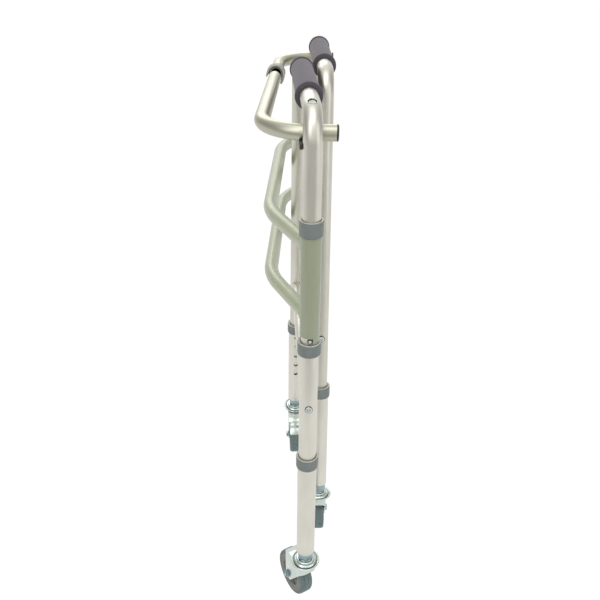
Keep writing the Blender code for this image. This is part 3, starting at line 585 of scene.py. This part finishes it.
def make_top_bar():
    """Both halves of the top bar with their caps, brackets and the saddle at their joint."""
    z = sum(span("left_top_bar_cap")) / 2
    x = hinge["left"].x
    arm = {side: sum(v.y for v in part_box(side + "_top_bar_cap")) / 2 for side in SIDES}
    saddle_low, saddle_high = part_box("top_bar_saddle")
    joint_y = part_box("top_bar_left_half")[1].y
    right_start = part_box("top_bar_right_half")[0].y
    paths = {
        "left": [(x + TOP_BAR_TAIL, arm["left"], z), (x - TOP_BAR_REACH, arm["left"], z),
                 (x - TOP_BAR_REACH, joint_y - TOP_BAR_JOINT_GAP, z)],
        "right": [(x - TOP_BAR_REACH, right_start, z), (x - TOP_BAR_REACH, arm["right"], z),
                  (x + TOP_BAR_TAIL, arm["right"], z)]}
    for side in SIDES:
        path = bend_path(paths[side], TOP_BAR_CORNER_R, 20)
        node = "top_bar_" + side + "_half"
        obj = tube(node + "_tube", path, (0, 0, 1), TOP_BAR_R, TOP_BAR_R - TUBE_WALL,
                   "top_bar_aluminium")
        piece(obj, "front_brace", node, path, (0, 0, 1))
        make_cap(side, (x + TOP_BAR_TAIL, arm[side], z))
        make_bracket(side, path, arm[side])
    make_saddle(x - TOP_BAR_REACH, saddle_low.y, saddle_high.y, z)


def make_cap(side, place):
    """Domed plug in the rear end of one top bar arm."""
    bore = TOP_BAR_R - TUBE_WALL - 0.3 * MM
    rim = TOP_BAR_R + 0.1 * MM
    corners = [(0, -9 * MM), (bore, -9 * MM, 0.8 * MM), (bore, 0.3 * MM), (rim, 0.3 * MM, 0.4 * MM),
               (rim, 2.0 * MM, 1.0 * MM), (TOP_BAR_R * 0.82, 3.0 * MM, 0.8 * MM),
               (TOP_BAR_R * 0.3, 3.0 * MM, 0.6 * MM), (TOP_BAR_R * 0.22, 2.5 * MM, 0.4 * MM),
               (0, 2.5 * MM)]
    obj = lathe(side + "_cap", corners, "black_plastic", along((1, 0, 0), place))
    piece(obj, "front_brace", side + "_top_bar_cap")


def make_bracket(side, path, arm_y):
    """Moulded block under the arm that reaches half way round the front leg."""
    sign = -1 if side == "left" else 1
    low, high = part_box(side + "_top_bar_bracket")
    inner = TUBE_R + 0.45 * MM
    outer = inner + 3.4 * MM
    tip, heel = radians(186), radians(48)
    arc = [(inner * cos(angle), inner * sin(angle)) for angle in sweep(tip, heel, 24)]
    far = abs(hinge[side].y - arm_y) + TOP_BAR_R * 0.75
    outline = arc + [(outer * cos(heel), outer * sin(heel)), (9 * MM, far), (-14.4 * MM, far),
                     (-18 * MM, far * 0.8), (-18 * MM, 0.3 * far), (outer * cos(tip), outer * sin(tip))]
    outline = [(x, -sign * y) for x, y in outline]
    if sign > 0:
        outline = outline[::-1]
    obj = prism(side + "_bracket", outline, low.z, high.z, "black_plastic", hinge_at[side])
    groove_r = TOP_BAR_R + 0.25 * MM
    combine(obj, [tube("groove", path, (0, 0, 1), groove_r, 0.5 * TOP_BAR_R, None)])
    soften(obj, 0.8 * MM, 3)
    piece(obj, "front_brace", side + "_top_bar_bracket")


def make_saddle(x, front, back, z):
    """Open moulded saddle: it grips the right half and its raked jaws cradle the left half's end."""
    front -= 5 * MM
    length = back - front
    outer = 16.4 * MM
    hollow = 13.6 * MM
    opening, half_opening = radians(-112), radians(62)
    snug = TOP_BAR_R + 0.25 * MM
    shelf = length - 12 * MM
    corners = [(hollow, 0, 0.8 * MM), (outer, 0, 0.9 * MM), (outer, length, 2.4 * MM),
               (snug, length, 0.6 * MM), (snug, shelf, 0.5 * MM), (hollow, shelf - 2 * MM, 0.5 * MM)]
    at = along((0, 1, 0), (x, front, z))
    obj = lathe("top_bar_saddle_shell", corners, "saddle_plastic", at, closed=True)
    wide = 2 * outer
    outline = [(0, 0)] + [(wide * cos(angle), wide * sin(angle))
                          for angle in sweep(opening - half_opening, opening + half_opening, 12)]
    facing = Matrix.Translation(at.translation) @ Matrix(((1, 0, 0), (0, 0, 1), (0, 1, 0))).to_4x4()
    side_on = Matrix.Translation(at.translation) @ Matrix(((0, 0, 1), (1, 0, 0), (0, 1, 0))).to_4x4()
    slope = 30 * MM / wide
    rake = [(-wide, -outer), (0, -outer), (slope * (wide + outer), wide), (-wide, wide)]
    combine(obj, [prism("opening", outline, -2 * MM, 2 * length, None, facing),
                  prism("rake", rake, -wide, wide, None, side_on)])
    soften(obj, 0.7 * MM, 3, 50)
    piece(obj, "front_brace", "top_bar_saddle")


for side in SIDES:
    make_sleeve(side)
for name in ("upper_front_bar", "lower_front_bar"):
    make_bar(name)
make_top_bar()


# Legs: each leg frame has Z up its axis and X towards the other leg of the side frame
leg_at = {}
for side in SIDES:
    for leg in LEGS:
        name = side + "_" + leg
        leg_at[name] = basis(spot(name + "_castor_swivel"), -heading(name + "_height_button_press"),
                             heading(name + "_castor_swivel"))
FITTINGS = ("lower_leg", "leg_collar", "height_button", "castor_stem", "leg_extension")
run_of = {name: span("left_front_" + name) for name in FITTINGS}


def leg_hole(at, height, radius):
    """Tool for a hole in a leg's inner side, in that leg's frame."""
    return rod("hole", (0, 0, height), (1, 0, 0), radius, TOOL_REACH, at)


def press_holes(obj, at, button):
    """Holes that a pressed height button enters, at the leg's own setting and fully raised."""
    for height in (button, button + HEIGHT_RAISE):
        combine(obj, [leg_hole(at, height, PRESS_HOLE_R)])


def make_side_frame(side):
    """Bent frame tube with its holes and drain, and everything that it carries above the legs."""
    body = side + "_side_frame"
    node = side + "_frame_tube"
    at = side_at[side]
    rear = leg_at[side + "_rear"]
    top = span(node)[1] - TUBE_R
    button = sum(run_of["height_button"]) / 2
    inner_end = run_of["leg_extension"][0]
    lift = at.inverted() @ rear
    origin, lean = lift.translation, lift.to_3x3().col[2]

    def rear_point(run):
        return origin + lean * run

    corner = rear_point((top - origin.z) / lean.z)
    brace_z = sum(span(side + "_side_brace")) / 2
    points = [(0, 0, brace_z - 25 * MM), (0, 0, top), corner, rear_point(inner_end - INNER_TUBE_TAIL)]
    path = bend_path(points, FRAME_BEND_R, 20)
    obj = tube(node + "_fine", path, (0, 1, 0), TUBE_R, TUBE_R - TUBE_WALL, "champagne_aluminium")
    outward = Vector((-cos(DRAIN_ANGLE), 0, sin(DRAIN_ANGLE)))
    bend_centre = Vector((FRAME_BEND_R, 0, top - FRAME_BEND_R))
    lock_z = sum(span(side + "_fold_lock_button")) / 2
    drain_at = bend_centre + outward * (FRAME_BEND_R + 4 * MM)
    combine(obj, [rod("drain", drain_at, outward, DRAIN_R, TOOL_REACH),
                  rod("lock", (-TOOL_REACH, 0, lock_z), (1, 0, 0), LOCK_HOLE_R, 25 * MM)])
    press_holes(obj, lift, button)
    obj.data.transform(at)
    piece(obj, body, node, [at @ point for point in path], at.to_3x3().col[1])

    rim = []
    for angle in around(48):
        across = Vector((0, 1, 0)) * cos(angle) * DRAIN_R
        tangent = Vector((sin(DRAIN_ANGLE), 0, cos(DRAIN_ANGLE))) * sin(angle) * DRAIN_R
        swell = sqrt(TUBE_R ** 2 - across.length ** 2) - 0.2 * MM
        rim.append(at @ (bend_centre + outward * (FRAME_BEND_R + swell) + across + tangent))
    piece(loop_bead(side + "_drain_rim", rim, 0.5 * MM, "champagne_aluminium"), body, node)
    corners = in_mm([(0, -3.5), (5.5, -3.5), (5.5, -2.6, 0.4), (3.6, -1.4, 0.8), (1.6, -2.0, 0.6), (0, -2.2)])
    seat = at @ along(outward, bend_centre + outward * (FRAME_BEND_R + TUBE_R))
    piece(lathe(side + "_drain_plug", corners, "zinc_plate", seat, sides=32), body, node)

    make_grip(side, body, at, top)
    make_side_brace(side, body, at, lift, brace_z)
    make_front_leg(side, body, at, button, inner_end)
    make_lock_button(side, at, lock_z)


def make_grip(side, body, at, top):
    """Padded grip with rolled rims, two fine grooves by each rim and a shallow waist."""
    bore = TUBE_R + 0.2 * MM

    def end(z, way):
        return [(bore, z, 0.8 * MM), (GRIP_RIM_R - 3.2 * MM, z, 0.8 * MM),
                (GRIP_RIM_R - 0.2 * MM, z + way * 1.2 * MM, 2.0 * MM),
                (GRIP_RIM_R, z + way * 5.6 * MM, 1.6 * MM), (GRIP_R + 0.2 * MM, z + way * 7.6 * MM, 1.0 * MM),
                (GRIP_R - 0.5 * MM, z + way * 8.6 * MM, 0.5 * MM), (GRIP_R, z + way * 9.8 * MM, 0.5 * MM),
                (GRIP_R, z + way * 11.6 * MM, 0.4 * MM), (GRIP_R - 0.6 * MM, z + way * 12.4 * MM, 0.5 * MM),
                (GRIP_R, z + way * 13.4 * MM, 0.5 * MM)]

    corners = end(0, 1)
    for step in range(1, 12):
        share = step / 12
        swell = -0.25 * MM * (1 - cos(2 * pi * share)) / 2
        corners.append((GRIP_R + swell, 14 * MM + (GRIP_LENGTH - 28 * MM) * share))
    corners += end(GRIP_LENGTH, -1)[::-1]
    seat = at @ along((1, 0, 0), (GRIP_START, 0, top))
    obj = lathe(side + "_grip_foam", corners, "grip_rubber", seat, closed=True)
    piece(obj, body, side + "_grip")


def screw_head(name, at, body, node, radius=5.4 * MM, height=2.6 * MM):
    """Pan head with a cross recess on a dark seal; its frame's Z points out of the surface."""
    corners = [(0, 0), (radius, 0, 0.2 * MM), (radius, height * 0.42, 0.9 * MM),
               (radius * 0.66, height * 0.9, 1.0 * MM), (0, height)]
    obj = lathe(name, corners, "zinc_plate", at, sides=40)
    arms = []
    for turn in (0.3, 0.3 + pi / 2):
        outline = box_outline(-3.0 * MM, 3.0 * MM, 0.6 * MM)
        turned = at @ Matrix.Rotation(turn, 4, "Z")
        arms.append(prism("arm", outline, height * 0.2, height * 2, None, turned))
    combine(obj, arms)
    soften(obj, 0.12 * MM, 2)
    piece(obj, body, node)
    ring = [(radius - 0.6 * MM, 0), (radius + 0.7 * MM, 0), (radius + 0.7 * MM, 0.7 * MM, 0.2 * MM),
            (radius + 0.1 * MM, 0.9 * MM, 0.2 * MM), (radius - 0.6 * MM, 0.9 * MM)]
    piece(lathe(name + "_seal", ring, "black_plastic", at, closed=True, sides=40), body, node)


def make_side_brace(side, body, at, lift, brace_z):
    """Coped tube between the legs, and the tie rod through it with its two heads."""
    node = side + "_side_brace"
    lean = lift.to_3x3().col[2]
    rear_x = (lift.translation + lean * ((brace_z - lift.translation.z) / lean.z)).x
    bore = BRACE_TUBE_R - THIN_WALL
    corners = [(bore, 0), (BRACE_TUBE_R, 0), (BRACE_TUBE_R, rear_x), (bore, rear_x)]
    seat = at @ along((1, 0, 0), (0, 0, brace_z))
    obj = lathe(node + "_tube", corners, "brushed_aluminium", seat, closed=True)
    combine(obj, [upright_rod(0, 0, brace_z, EXTENSION_R + 0.15 * MM, at),
                  upright_rod(0, 0, brace_z, TUBE_R + 0.15 * MM, at @ lift)])
    piece(obj, body, node)
    node = side + "_tie_rod"
    start, end, shank_r = -15 * MM, rear_x + 14 * MM, 3 * MM
    corners = [(0, start), (shank_r, start), (shank_r, end), (0, end)]
    piece(lathe(node + "_shank", corners, "zinc_plate", seat, sides=24), body, node)
    front, rear = -EXTENSION_R - 0.15 * MM, rear_x + TUBE_R + 0.75 * MM
    screw_head(node + "_front_head", at @ along((-1, 0, 0), (front, 0, brace_z)), body, node)
    screw_head(node + "_rear_head", at @ along((1, 0, 0), (rear, 0, brace_z)), body, node)


def collar_corners(bore, outer, low, high):
    """Profile of a moulded collar with rounded edges and a dished top."""
    return [(bore, low, 0.4 * MM), (outer - 0.5 * MM, low, 1.2 * MM), (outer, low + 2.2 * MM, 1.0 * MM),
            (outer, high - 1.3 * MM, 0.6 * MM), (outer - 0.6 * MM, high - 0.8 * MM, 0.2 * MM),
            (bore + 0.9 * MM, high - 1.2 * MM, 0.3 * MM), (bore, high - 1.5 * MM, 0.3 * MM)]


def make_collar(name, corners, tube_r, at, body, node):
    """A collar's moulding, and a pale lip ring on its top that is a painted highlight along the collar's top
    edge.
    """
    piece(lathe(name + "_moulding", corners, "grey_plastic", at, closed=True), body, node)
    outer = max(corner[0] for corner in corners)
    high = max(corner[1] for corner in corners) + 0.8 * MM
    lip = [(tube_r + 0.7 * MM, high - 1.6 * MM), (outer - 0.5 * MM, high - 0.9 * MM),
           (outer - 0.4 * MM, high - 0.2 * MM, 0.3 * MM), (outer - 0.9 * MM, high, 0.3 * MM),
           (tube_r + 1.0 * MM, high - 0.5 * MM, 0.3 * MM)]
    # The pale lip stands for the bright top edge of the collar: a painted highlight.
    piece(lathe(name + "_painted_highlight_lip", lip, "pale_plastic", at, closed=True), body, node)


def make_front_leg(side, body, at, button, inner_end):
    """Extension tube and the collars above and below the hinge sleeve."""
    node = side + "_front_leg_extension"
    top = span(node)[1]
    low = inner_end - INNER_TUBE_TAIL
    bore = TUBE_R + 0.15 * MM
    corners = [(bore, low, 0.2 * MM), (EXTENSION_R, low, 0.4 * MM), (EXTENSION_R, top, 0.4 * MM),
               (bore, top, 0.2 * MM)]
    obj = lathe(node + "_tube", corners, "brushed_aluminium", at, closed=True)
    press_holes(obj, at, button)
    piece(obj, body, node)
    for which, thick in (("upper", 3.6 * MM), ("lower", 4.4 * MM)):
        node = side + "_" + which + "_collar"
        low, high = span(node)
        bore = TUBE_R + 0.2 * MM if which == "upper" else EXTENSION_R + 0.2 * MM
        corners = collar_corners(bore, TUBE_R + 0.3 * MM + thick, low, high)
        if which == "lower":
            seat, snug = top + 0.2 * MM, TUBE_R + 0.2 * MM
            corners[-2:] = [(TUBE_R + 1.3 * MM, high - 0.9 * MM, 0.4 * MM), (snug, high - 1.5 * MM),
                            (snug, seat), (bore, seat)]
        make_collar(node, corners, TUBE_R, at, body, node)


def make_lock_button(side, at, z):
    """Sprung pin with a domed end, in a dark bush at the foot of the sleeve."""
    corners = in_mm([(0, 8.6), (4.3, 8.6), (4.3, 9.6, 0.2), (2.7, 9.6), (2.7, 15.1, 0.7), (1.8, 16, 0.6),
                     (0.9, 15.7, 0.3), (0, 15.5)])
    outward = at @ along((-1, 0, 0), (0, 0, z))
    obj = lathe(side + "_lock_pin", corners, "pale_plastic", outward, sides=32)
    piece(obj, side + "_lock_button", side + "_fold_lock_button")
    corners = in_mm([(2.9, 11.6), (3.4, 11.6), (3.4, 12.8), (3.9, 12.6), (3.9, 14.8, 0.5), (3.3, 15.2, 0.4),
                     (2.9, 14.6, 0.2)])
    bush = lathe(side + "_lock_bush", corners, "black_plastic", outward, closed=True, sides=32)
    piece(bush, side + "_side_frame", side + "_frame_tube")


def make_leg(name):
    """Telescopic lower leg with its height holes, collar, button and castor."""
    body = name + "_leg"
    at = leg_at[name]
    rear = name.endswith("rear")
    low, high = run_of["lower_leg"]
    bore = EXTENSION_R + 0.3 * MM
    corners = [(bore, low, 0.3 * MM), (LOWER_LEG_R, low, 0.5 * MM),
               (LOWER_LEG_R, high, 0.4 * MM), (bore, high, 0.3 * MM)]
    obj = lathe(name + "_lower_leg_tube", corners, "brushed_aluminium", at, closed=True)
    button = sum(run_of["height_button"]) / 2
    heights = [button + (1 - step) * HOLE_PITCH for step in range(HEIGHT_HOLES)]
    combine(obj, [leg_hole(at, height, HEIGHT_HOLE_R) for height in heights])
    piece(obj, body, name + "_lower_leg")

    low, top = run_of["leg_collar"]
    carrier = TUBE_R if rear else EXTENSION_R
    corners = collar_corners(LOWER_LEG_R + 0.2 * MM, LOWER_LEG_R + 2.4 * MM, low, top)
    corners[-2:] = [(carrier + 1.4 * MM, top - 0.9 * MM, 0.4 * MM), (carrier + 0.25 * MM, top - 1.5 * MM)]
    seat = high + 0.2 * MM
    if rear:
        bush_low = high - 19 * MM
        corners += [(carrier + 0.25 * MM, bush_low), (bore - 0.3 * MM, bush_low), (bore - 0.3 * MM, seat)]
    else:
        corners += [(carrier + 0.25 * MM, seat)]
    corners += [(LOWER_LEG_R + 0.2 * MM, seat)]
    make_collar(name + "_collar", corners, carrier, at, body, name + "_leg_collar")

    tip = LOWER_LEG_R + 2.2 * MM
    corners = [(0, bore + 0.1 * MM), (3.8 * MM, bore + 0.1 * MM), (3.8 * MM, tip - 1.2 * MM, 1.0 * MM),
               (2.0 * MM, tip, 1.0 * MM), (0, tip)]
    place = at @ along((1, 0, 0), (0, 0, button))
    obj = lathe(name + "_button_pin", corners, "zinc_plate", place, sides=32)
    piece(obj, name + "_button", name + "_height_button")
    make_castor(name, at)


def make_castor(name, leg):
    """Stem with its race and nut, pressed fork, axle bolt and wheel; a rear one has a brake pedal."""
    stem_low, stem_high = run_of["castor_stem"]
    node = name + "_castor_stem"
    corners = in_mm([(0, 0), (9, 0, 1.6), (10, 3, 0.6), (6, 3)], stem_low)
    corners += in_mm([(6, 0), (15.6, 0, 0.5), (16.4, 0.8, 0.8), (16.4, 2.8, 0.8), (15, 3.6, 0.6),
                      (12, 3.8, 0.3), (12, 5.6), (0, 5.6)], RACE_Z)
    piece(lathe(node + "_race", corners, "zinc_plate", leg), name + "_leg", node)
    corners = in_mm([(0, 5.8), (12.6, 5.8), (14.6, 6.6, 0.3, 1)], RACE_Z)
    corners += in_mm([(14.6, -2.4, 0.3, 1), (13, -1.6, 0.4), (12.2, -0.8), (12.2, 0.4), (13.8, 0.8, 0.3)],
                     NUT_TOP_Z)
    corners += [(13.8 * MM, stem_high, 1.0 * MM), (0, stem_high)]
    piece(lathe(node + "_nut", corners, "blue_zinc", leg, phase=0.35), name + "_leg", node)

    body = name + "_castor"
    axle = heading(name + "_wheel_spin")
    up = heading(name + "_castor_swivel")
    origin = spot(name + "_castor_swivel")
    hub = spot(name + "_wheel_spin")
    swivel = basis(origin, axle.cross(up), up)
    centre = swivel.inverted() @ hub
    trail, axle_z = centre.x, centre.z
    make_fork(name, body, swivel, trail, axle_z)
    make_axle(name, body, swivel, trail, axle_z)
    if name.endswith("rear"):
        make_pedal(name, body, swivel, trail, axle_z, hub.z)
    make_wheel(name, basis(hub, up.cross(axle), axle), hub.z)


def make_fork(name, body, swivel, trail, axle_z):
    """Pressed sheet fork with rounded front corners, under a ringed swivel plate."""
    node = name + "_fork"
    front = -16 * MM
    half = 15.9 * MM
    inner = 13.6 * MM
    boss = 10 * MM
    side = in_mm([(44, 92), (40, 94), (27, 99), (-16, 99), (-16, 84), (-6, 74)])
    for angle in sweep(radians(205), radians(372), 20):
        swell = 2.5 * MM * max(0, cos(angle - radians(240)))
        side.append((trail + (boss + swell) * cos(angle), axle_z + (boss + swell) * sin(angle)))
    side.append((44 * MM, 58 * MM))
    obj = prism(node + "_sheet", side, -half - 1 * MM, half + 1 * MM, "zinc_plate", swivel @ UPRIGHT)

    def rounded_plan(front, width, radius):
        points = []
        for y_sign, first in ((1, pi / 2), (-1, pi)):
            for angle in sweep(first, first + pi / 2, 12):
                points.append((front + radius + radius * cos(angle),
                               y_sign * (width - radius) + radius * sin(angle)))
        return points

    bend = [(21 * MM, -half - 0.2 * MM), (46 * MM, -half + 0.9 * MM), (46 * MM, half - 0.9 * MM),
            (21 * MM, half + 0.2 * MM)]
    plan = rounded_plan(front, half - 0.8 * MM, 10 * MM) + bend
    combine(obj, [prism("plan", plan, 0, 120 * MM, None, swivel)], "INTERSECT")
    room = rounded_plan(front + 2.3 * MM, inner, 7.7 * MM)
    for end, low, high in ((80 * MM, -10 * MM, 89.4 * MM), (26 * MM, 80 * MM, 96.6 * MM)):
        hollow = room + [(end, -inner), (end, inner)]
        combine(obj, [prism("hollow", hollow, low, high, None, swivel)])
    combine(obj, [rod("drill", (0, 0, 80 * MM), (0, 0, 1), 6.5 * MM, 40 * MM, swivel),
                  rod("drill", (trail, -TOOL_REACH, axle_z), (0, 1, 0), 4.1 * MM, 2 * TOOL_REACH, swivel)])
    soften(obj, 0.7 * MM, 3, 50)
    piece(obj, body, node)

    corners = in_mm([(6.6, 1.8), (23.4, 1.8, 0.4), (25, 2.6, 0.6), (25, 4, 0.8), (23.6, 4.6, 0.6),
                     (21.8, 4, 0.4), (21.6, 3), (20.4, 3), (20.2, 5, 0.6), (17.8, 7, 0.8), (6.6, 7)],
                    FORK_CROWN_Z)
    piece(lathe(node + "_swivel_plate", corners, "zinc_plate", swivel, closed=True), body, node)
    # Black rings in the gap under the swivel plate and in its groove are painted shade, not seals.
    painted_shade_rings = (("bearing_gap_painted_shade", 7.0, 21.4, -0.4, 2.0), ("groove", 20.3, 21.1, 2.8, 3.3))
    for label, inside, outside, low, high in painted_shade_rings:
        ring = in_mm([(inside, low), (outside, low), (outside, high), (inside, high)], FORK_CROWN_Z)
        piece(lathe(node + "_" + label + "_seal", ring, "black_plastic", swivel, closed=True), body, node)


def make_pedal(name, body, swivel, trail, axle_z, tyre_r):
    """Brake pedal: a bent sheet from the fork's crown to the top of the tyre."""
    node = name + "_fork"
    inner = tyre_r + 1.4 * MM
    outer = inner + 2.0 * MM
    outline = in_mm([(26, 95), (40, 91.6), (52, 88)])
    for radius, angles in ((outer, range(62, 41, -4)), (inner, range(42, 91, 4))):
        for angle in angles:
            outline.append((trail + radius * cos(radians(angle)), axle_z + radius * sin(radians(angle))))
    obj = prism(name + "_brake_pedal", outline, -12.6 * MM, 12.6 * MM, "zinc_plate", swivel @ UPRIGHT)
    soften(obj, 0.6 * MM, 2, 50)
    piece(obj, body, node)


def make_axle(name, body, swivel, trail, axle_z):
    """Hexagon bolt with a washer at each side and a locking nut."""
    node = name + "_axle_bolt"
    seat = 16.0 * MM
    corners = in_mm([(0, -4.7), (3.4, -4.7), (6.8, -4.1, 0.4, 1), (6.8, -0.9, 0.1, 1), (7.4, -0.8, 0.2),
                     (7.4, 0, 0.2), (3.9, 0)], -seat)
    corners += in_mm([(3.9, 0), (7.4, 0, 0.2), (7.4, 0.8, 0.2), (6.8, 0.9, 0.1, 1), (6.8, 3.2, 0.4, 1),
                      (5.4, 4.2, 0.4), (3.6, 4.4), (3.6, 6.6, 0.5), (0, 6.8)], seat)
    at = swivel @ along((0, 1, 0), (trail, 0, axle_z))
    obj = lathe(node + "_hex", corners, "blue_zinc", at, sides=48)
    piece(obj, body, node)


def make_wheel(name, at, tyre_r):
    """Moulded core with ribs in its side recesses, and a crowned tyre with two fine tread lines."""
    body = name + "_wheel"
    node = name + "_wheel_core"
    face = tyre_r - 4.4 * MM
    corners = in_mm([(4.4, -13, 0.2), (8.6, -13, 0.6), (9.4, -9, 0.8), (22.4, -8.4, 1), (23.6, -11.4, 0.8),
                     (33, -12.2, 1)])
    corners += [(face, -12.0 * MM, 0.6 * MM), (face - 0.2 * MM, -11.0 * MM), (RIM_R, -10.6 * MM)]
    corners += [(r, -z, *rest) for r, z, *rest in corners[::-1]]
    obj = lathe(node + "_moulding", corners, "wheel_core", at, closed=True)
    piece(obj, body, node)
    for index in range(6):
        turn = Matrix.Rotation(2 * pi * index / 6, 4, "Z")
        outline = box_outline(8.4 * MM, 23.4 * MM, 0.9 * MM)
        rib = prism("%s_rib_%d" % (node, index + 1), outline, -10.8 * MM, 10.8 * MM, "wheel_core", at @ turn)
        soften(rib, 0.35 * MM, 2)
        piece(rib, body, node)

    node = name + "_tyre"
    half = TYRE_HALF_WIDTH
    corners = [(RIM_R + 0.1 * MM, -half + 2.2 * MM), (face - 0.1 * MM, -half + 1.8 * MM),
               (face + 0.3 * MM, -half + 0.2 * MM, 0.3 * MM),
               (tyre_r - 2.8 * MM, -half + 0.1 * MM, 0.8 * MM),
               (tyre_r - 1.0 * MM, -half + 1.6 * MM, 1.2 * MM),
               (tyre_r, -half + 4.6 * MM, 1.6 * MM), (tyre_r, -4.4 * MM, 0.2 * MM),
               (tyre_r - 0.6 * MM, -4.0 * MM, 0.2 * MM), (tyre_r, -3.6 * MM, 0.2 * MM)]
    corners += [(r, -z, *rest) for r, z, *rest in corners[::-1]]
    obj = lathe(node + "_rubber", corners, "tyre_rubber", at, closed=True, sides=96)
    piece(obj, body, node)


for side in SIDES:
    make_side_frame(side)
    for leg in LEGS:
        make_leg(side + "_" + leg)


# Floor, light and camera
def make_floor():
    """White floor that glows a little to the camera and in reflections, and still keeps the shadow."""
    bm = bmesh.new()
    bm.faces.new([bm.verts.new((x, y, 0)) for x, y in box_outline(-40.0, 40.0, 40.0)])
    obj = new_object("floor", bm, None)
    n = Nodes("floor_white")
    grain = n.add("ShaderNodeTexNoise", {"Scale": 30.0})
    n.finish(colour(250, 250, 250), n.spread(grain.outputs["Fac"], 0.7, 0.8), None)
    light = n.add("ShaderNodeLightPath")
    seen = n.camera_or_glossy(light)
    share = n.add("ShaderNodeMath", {0: seen.outputs[0], 1: 0.9}, operation="MULTIPLY")
    place = n.add("ShaderNodeNewGeometry")
    split = n.add("ShaderNodeSeparateXYZ", {0: place.outputs["Position"]})
    fall = {"Value": split.outputs["Y"], "From Min": -1.5, "From Max": -0.9, "To Min": 0.56,
            "To Max": PAPER_WHITE}
    paper = n.add("ShaderNodeMapRange", fall, interpolation_type="SMOOTHSTEP")
    paper_share = {0: light.outputs["Is Glossy Ray"], 2: PAPER_WHITE, 3: paper.outputs["Result"]}
    level = n.add("ShaderNodeMix", paper_share)
    glow = n.add("ShaderNodeEmission", {"Color": (1, 1, 1, 1), "Strength": level.outputs[0]})
    mix = n.add("ShaderNodeMixShader", {0: share.outputs[0], 1: n.shader.outputs[0], 2: glow.outputs[0]})
    n.tree.links.new(mix.outputs[0], n.tree.nodes["Material Output"].inputs["Surface"])
    obj.data.materials.append(n.owner)


def make_world():
    """White studio: full white to the camera, darker at both sides in reflections."""
    world = bpy.data.worlds.new("studio")
    bpy.context.scene.world = world
    n = Nodes("studio", world)
    light = n.add("ShaderNodeLightPath")
    seen = n.camera_or_glossy(light)
    strength = n.add("ShaderNodeMapRange", {"Value": seen.outputs[0], "To Min": 0.55, "To Max": 1.0})
    place = n.add("ShaderNodeTexCoord")
    split = n.add("ShaderNodeSeparateXYZ", {0: place.outputs["Generated"]})
    sideways = n.add("ShaderNodeMath", {0: split.outputs["X"]}, operation="ABSOLUTE")
    fall = {"Value": sideways.outputs[0], "From Min": 0.35, "From Max": 0.95, "To Min": 1.0, "To Max": 0.45}
    shade = n.add("ShaderNodeMapRange", fall, interpolation_type="SMOOTHSTEP")
    eye = n.add("ShaderNodeMath", {0: shade.outputs["Result"], 1: light.outputs["Is Camera Ray"]},
                operation="MAXIMUM")
    level = n.add("ShaderNodeMath", {0: strength.outputs["Result"], 1: eye.outputs[0]}, operation="MULTIPLY")
    background = n.tree.nodes["Background"]
    n.tree.links.new(level.outputs[0], background.inputs["Strength"])
    background.inputs["Color"].default_value = (1, 1, 1, 1)


def make_lamp(name, place, target, size, power):
    """Area lamp of that size in metres and power in watts, aimed at a point."""
    data = bpy.data.lights.new(name, "AREA")
    data.shape = "RECTANGLE"
    data.size, data.size_y = size
    data.energy = power
    obj = bpy.data.objects.new(name, data)
    bpy.context.scene.collection.objects.link(obj)
    aim = (Vector(target) - Vector(place)).normalized()
    obj.matrix_world = Matrix.Translation(place) @ aim.to_track_quat("-Z", "Y").to_matrix().to_4x4()


def make_camera():
    """The photo's camera, fitted to its legs, holes and collars."""
    data = bpy.data.cameras.new("camera")
    data.sensor_width = 36.0
    data.lens = CAMERA_LENS
    data.clip_start = 0.05
    obj = bpy.data.objects.new("camera", data)
    bpy.context.scene.collection.objects.link(obj)
    yaw, pitch, roll = CAMERA_YAW, CAMERA_PITCH, CAMERA_ROLL
    ahead = Vector((-sin(yaw) * cos(pitch), cos(yaw) * cos(pitch), -sin(pitch)))
    right = Vector((cos(yaw), sin(yaw), 0))
    over = right.cross(ahead)
    side = right * cos(roll) + over * sin(roll)
    over = over * cos(roll) - right * sin(roll)
    turn = Matrix((side, over, -ahead)).transposed().to_4x4()
    obj.matrix_world = Matrix.Translation(CAMERA_AT) @ turn
    bpy.context.scene.camera = obj


make_floor()
make_world()
make_lamp("key", (-1.1, -1.6, 1.9), (0, 0, 0.5), (1.0, 1.4), 8)
make_lamp("top", (0, -0.8, 2.5), (0, -0.1, 0.7), (1.5, 1.5), 11)
make_lamp("fill", (1.5, -1.0, 1.1), (0, 0, 0.5), (1.0, 1.6), 5)
make_lamp("back", (-0.4, 1.6, 1.8), (0, 0, 0.5), (1.4, 1.0), 9)
make_camera()
bpy.context.scene.view_settings.view_transform = "Standard"
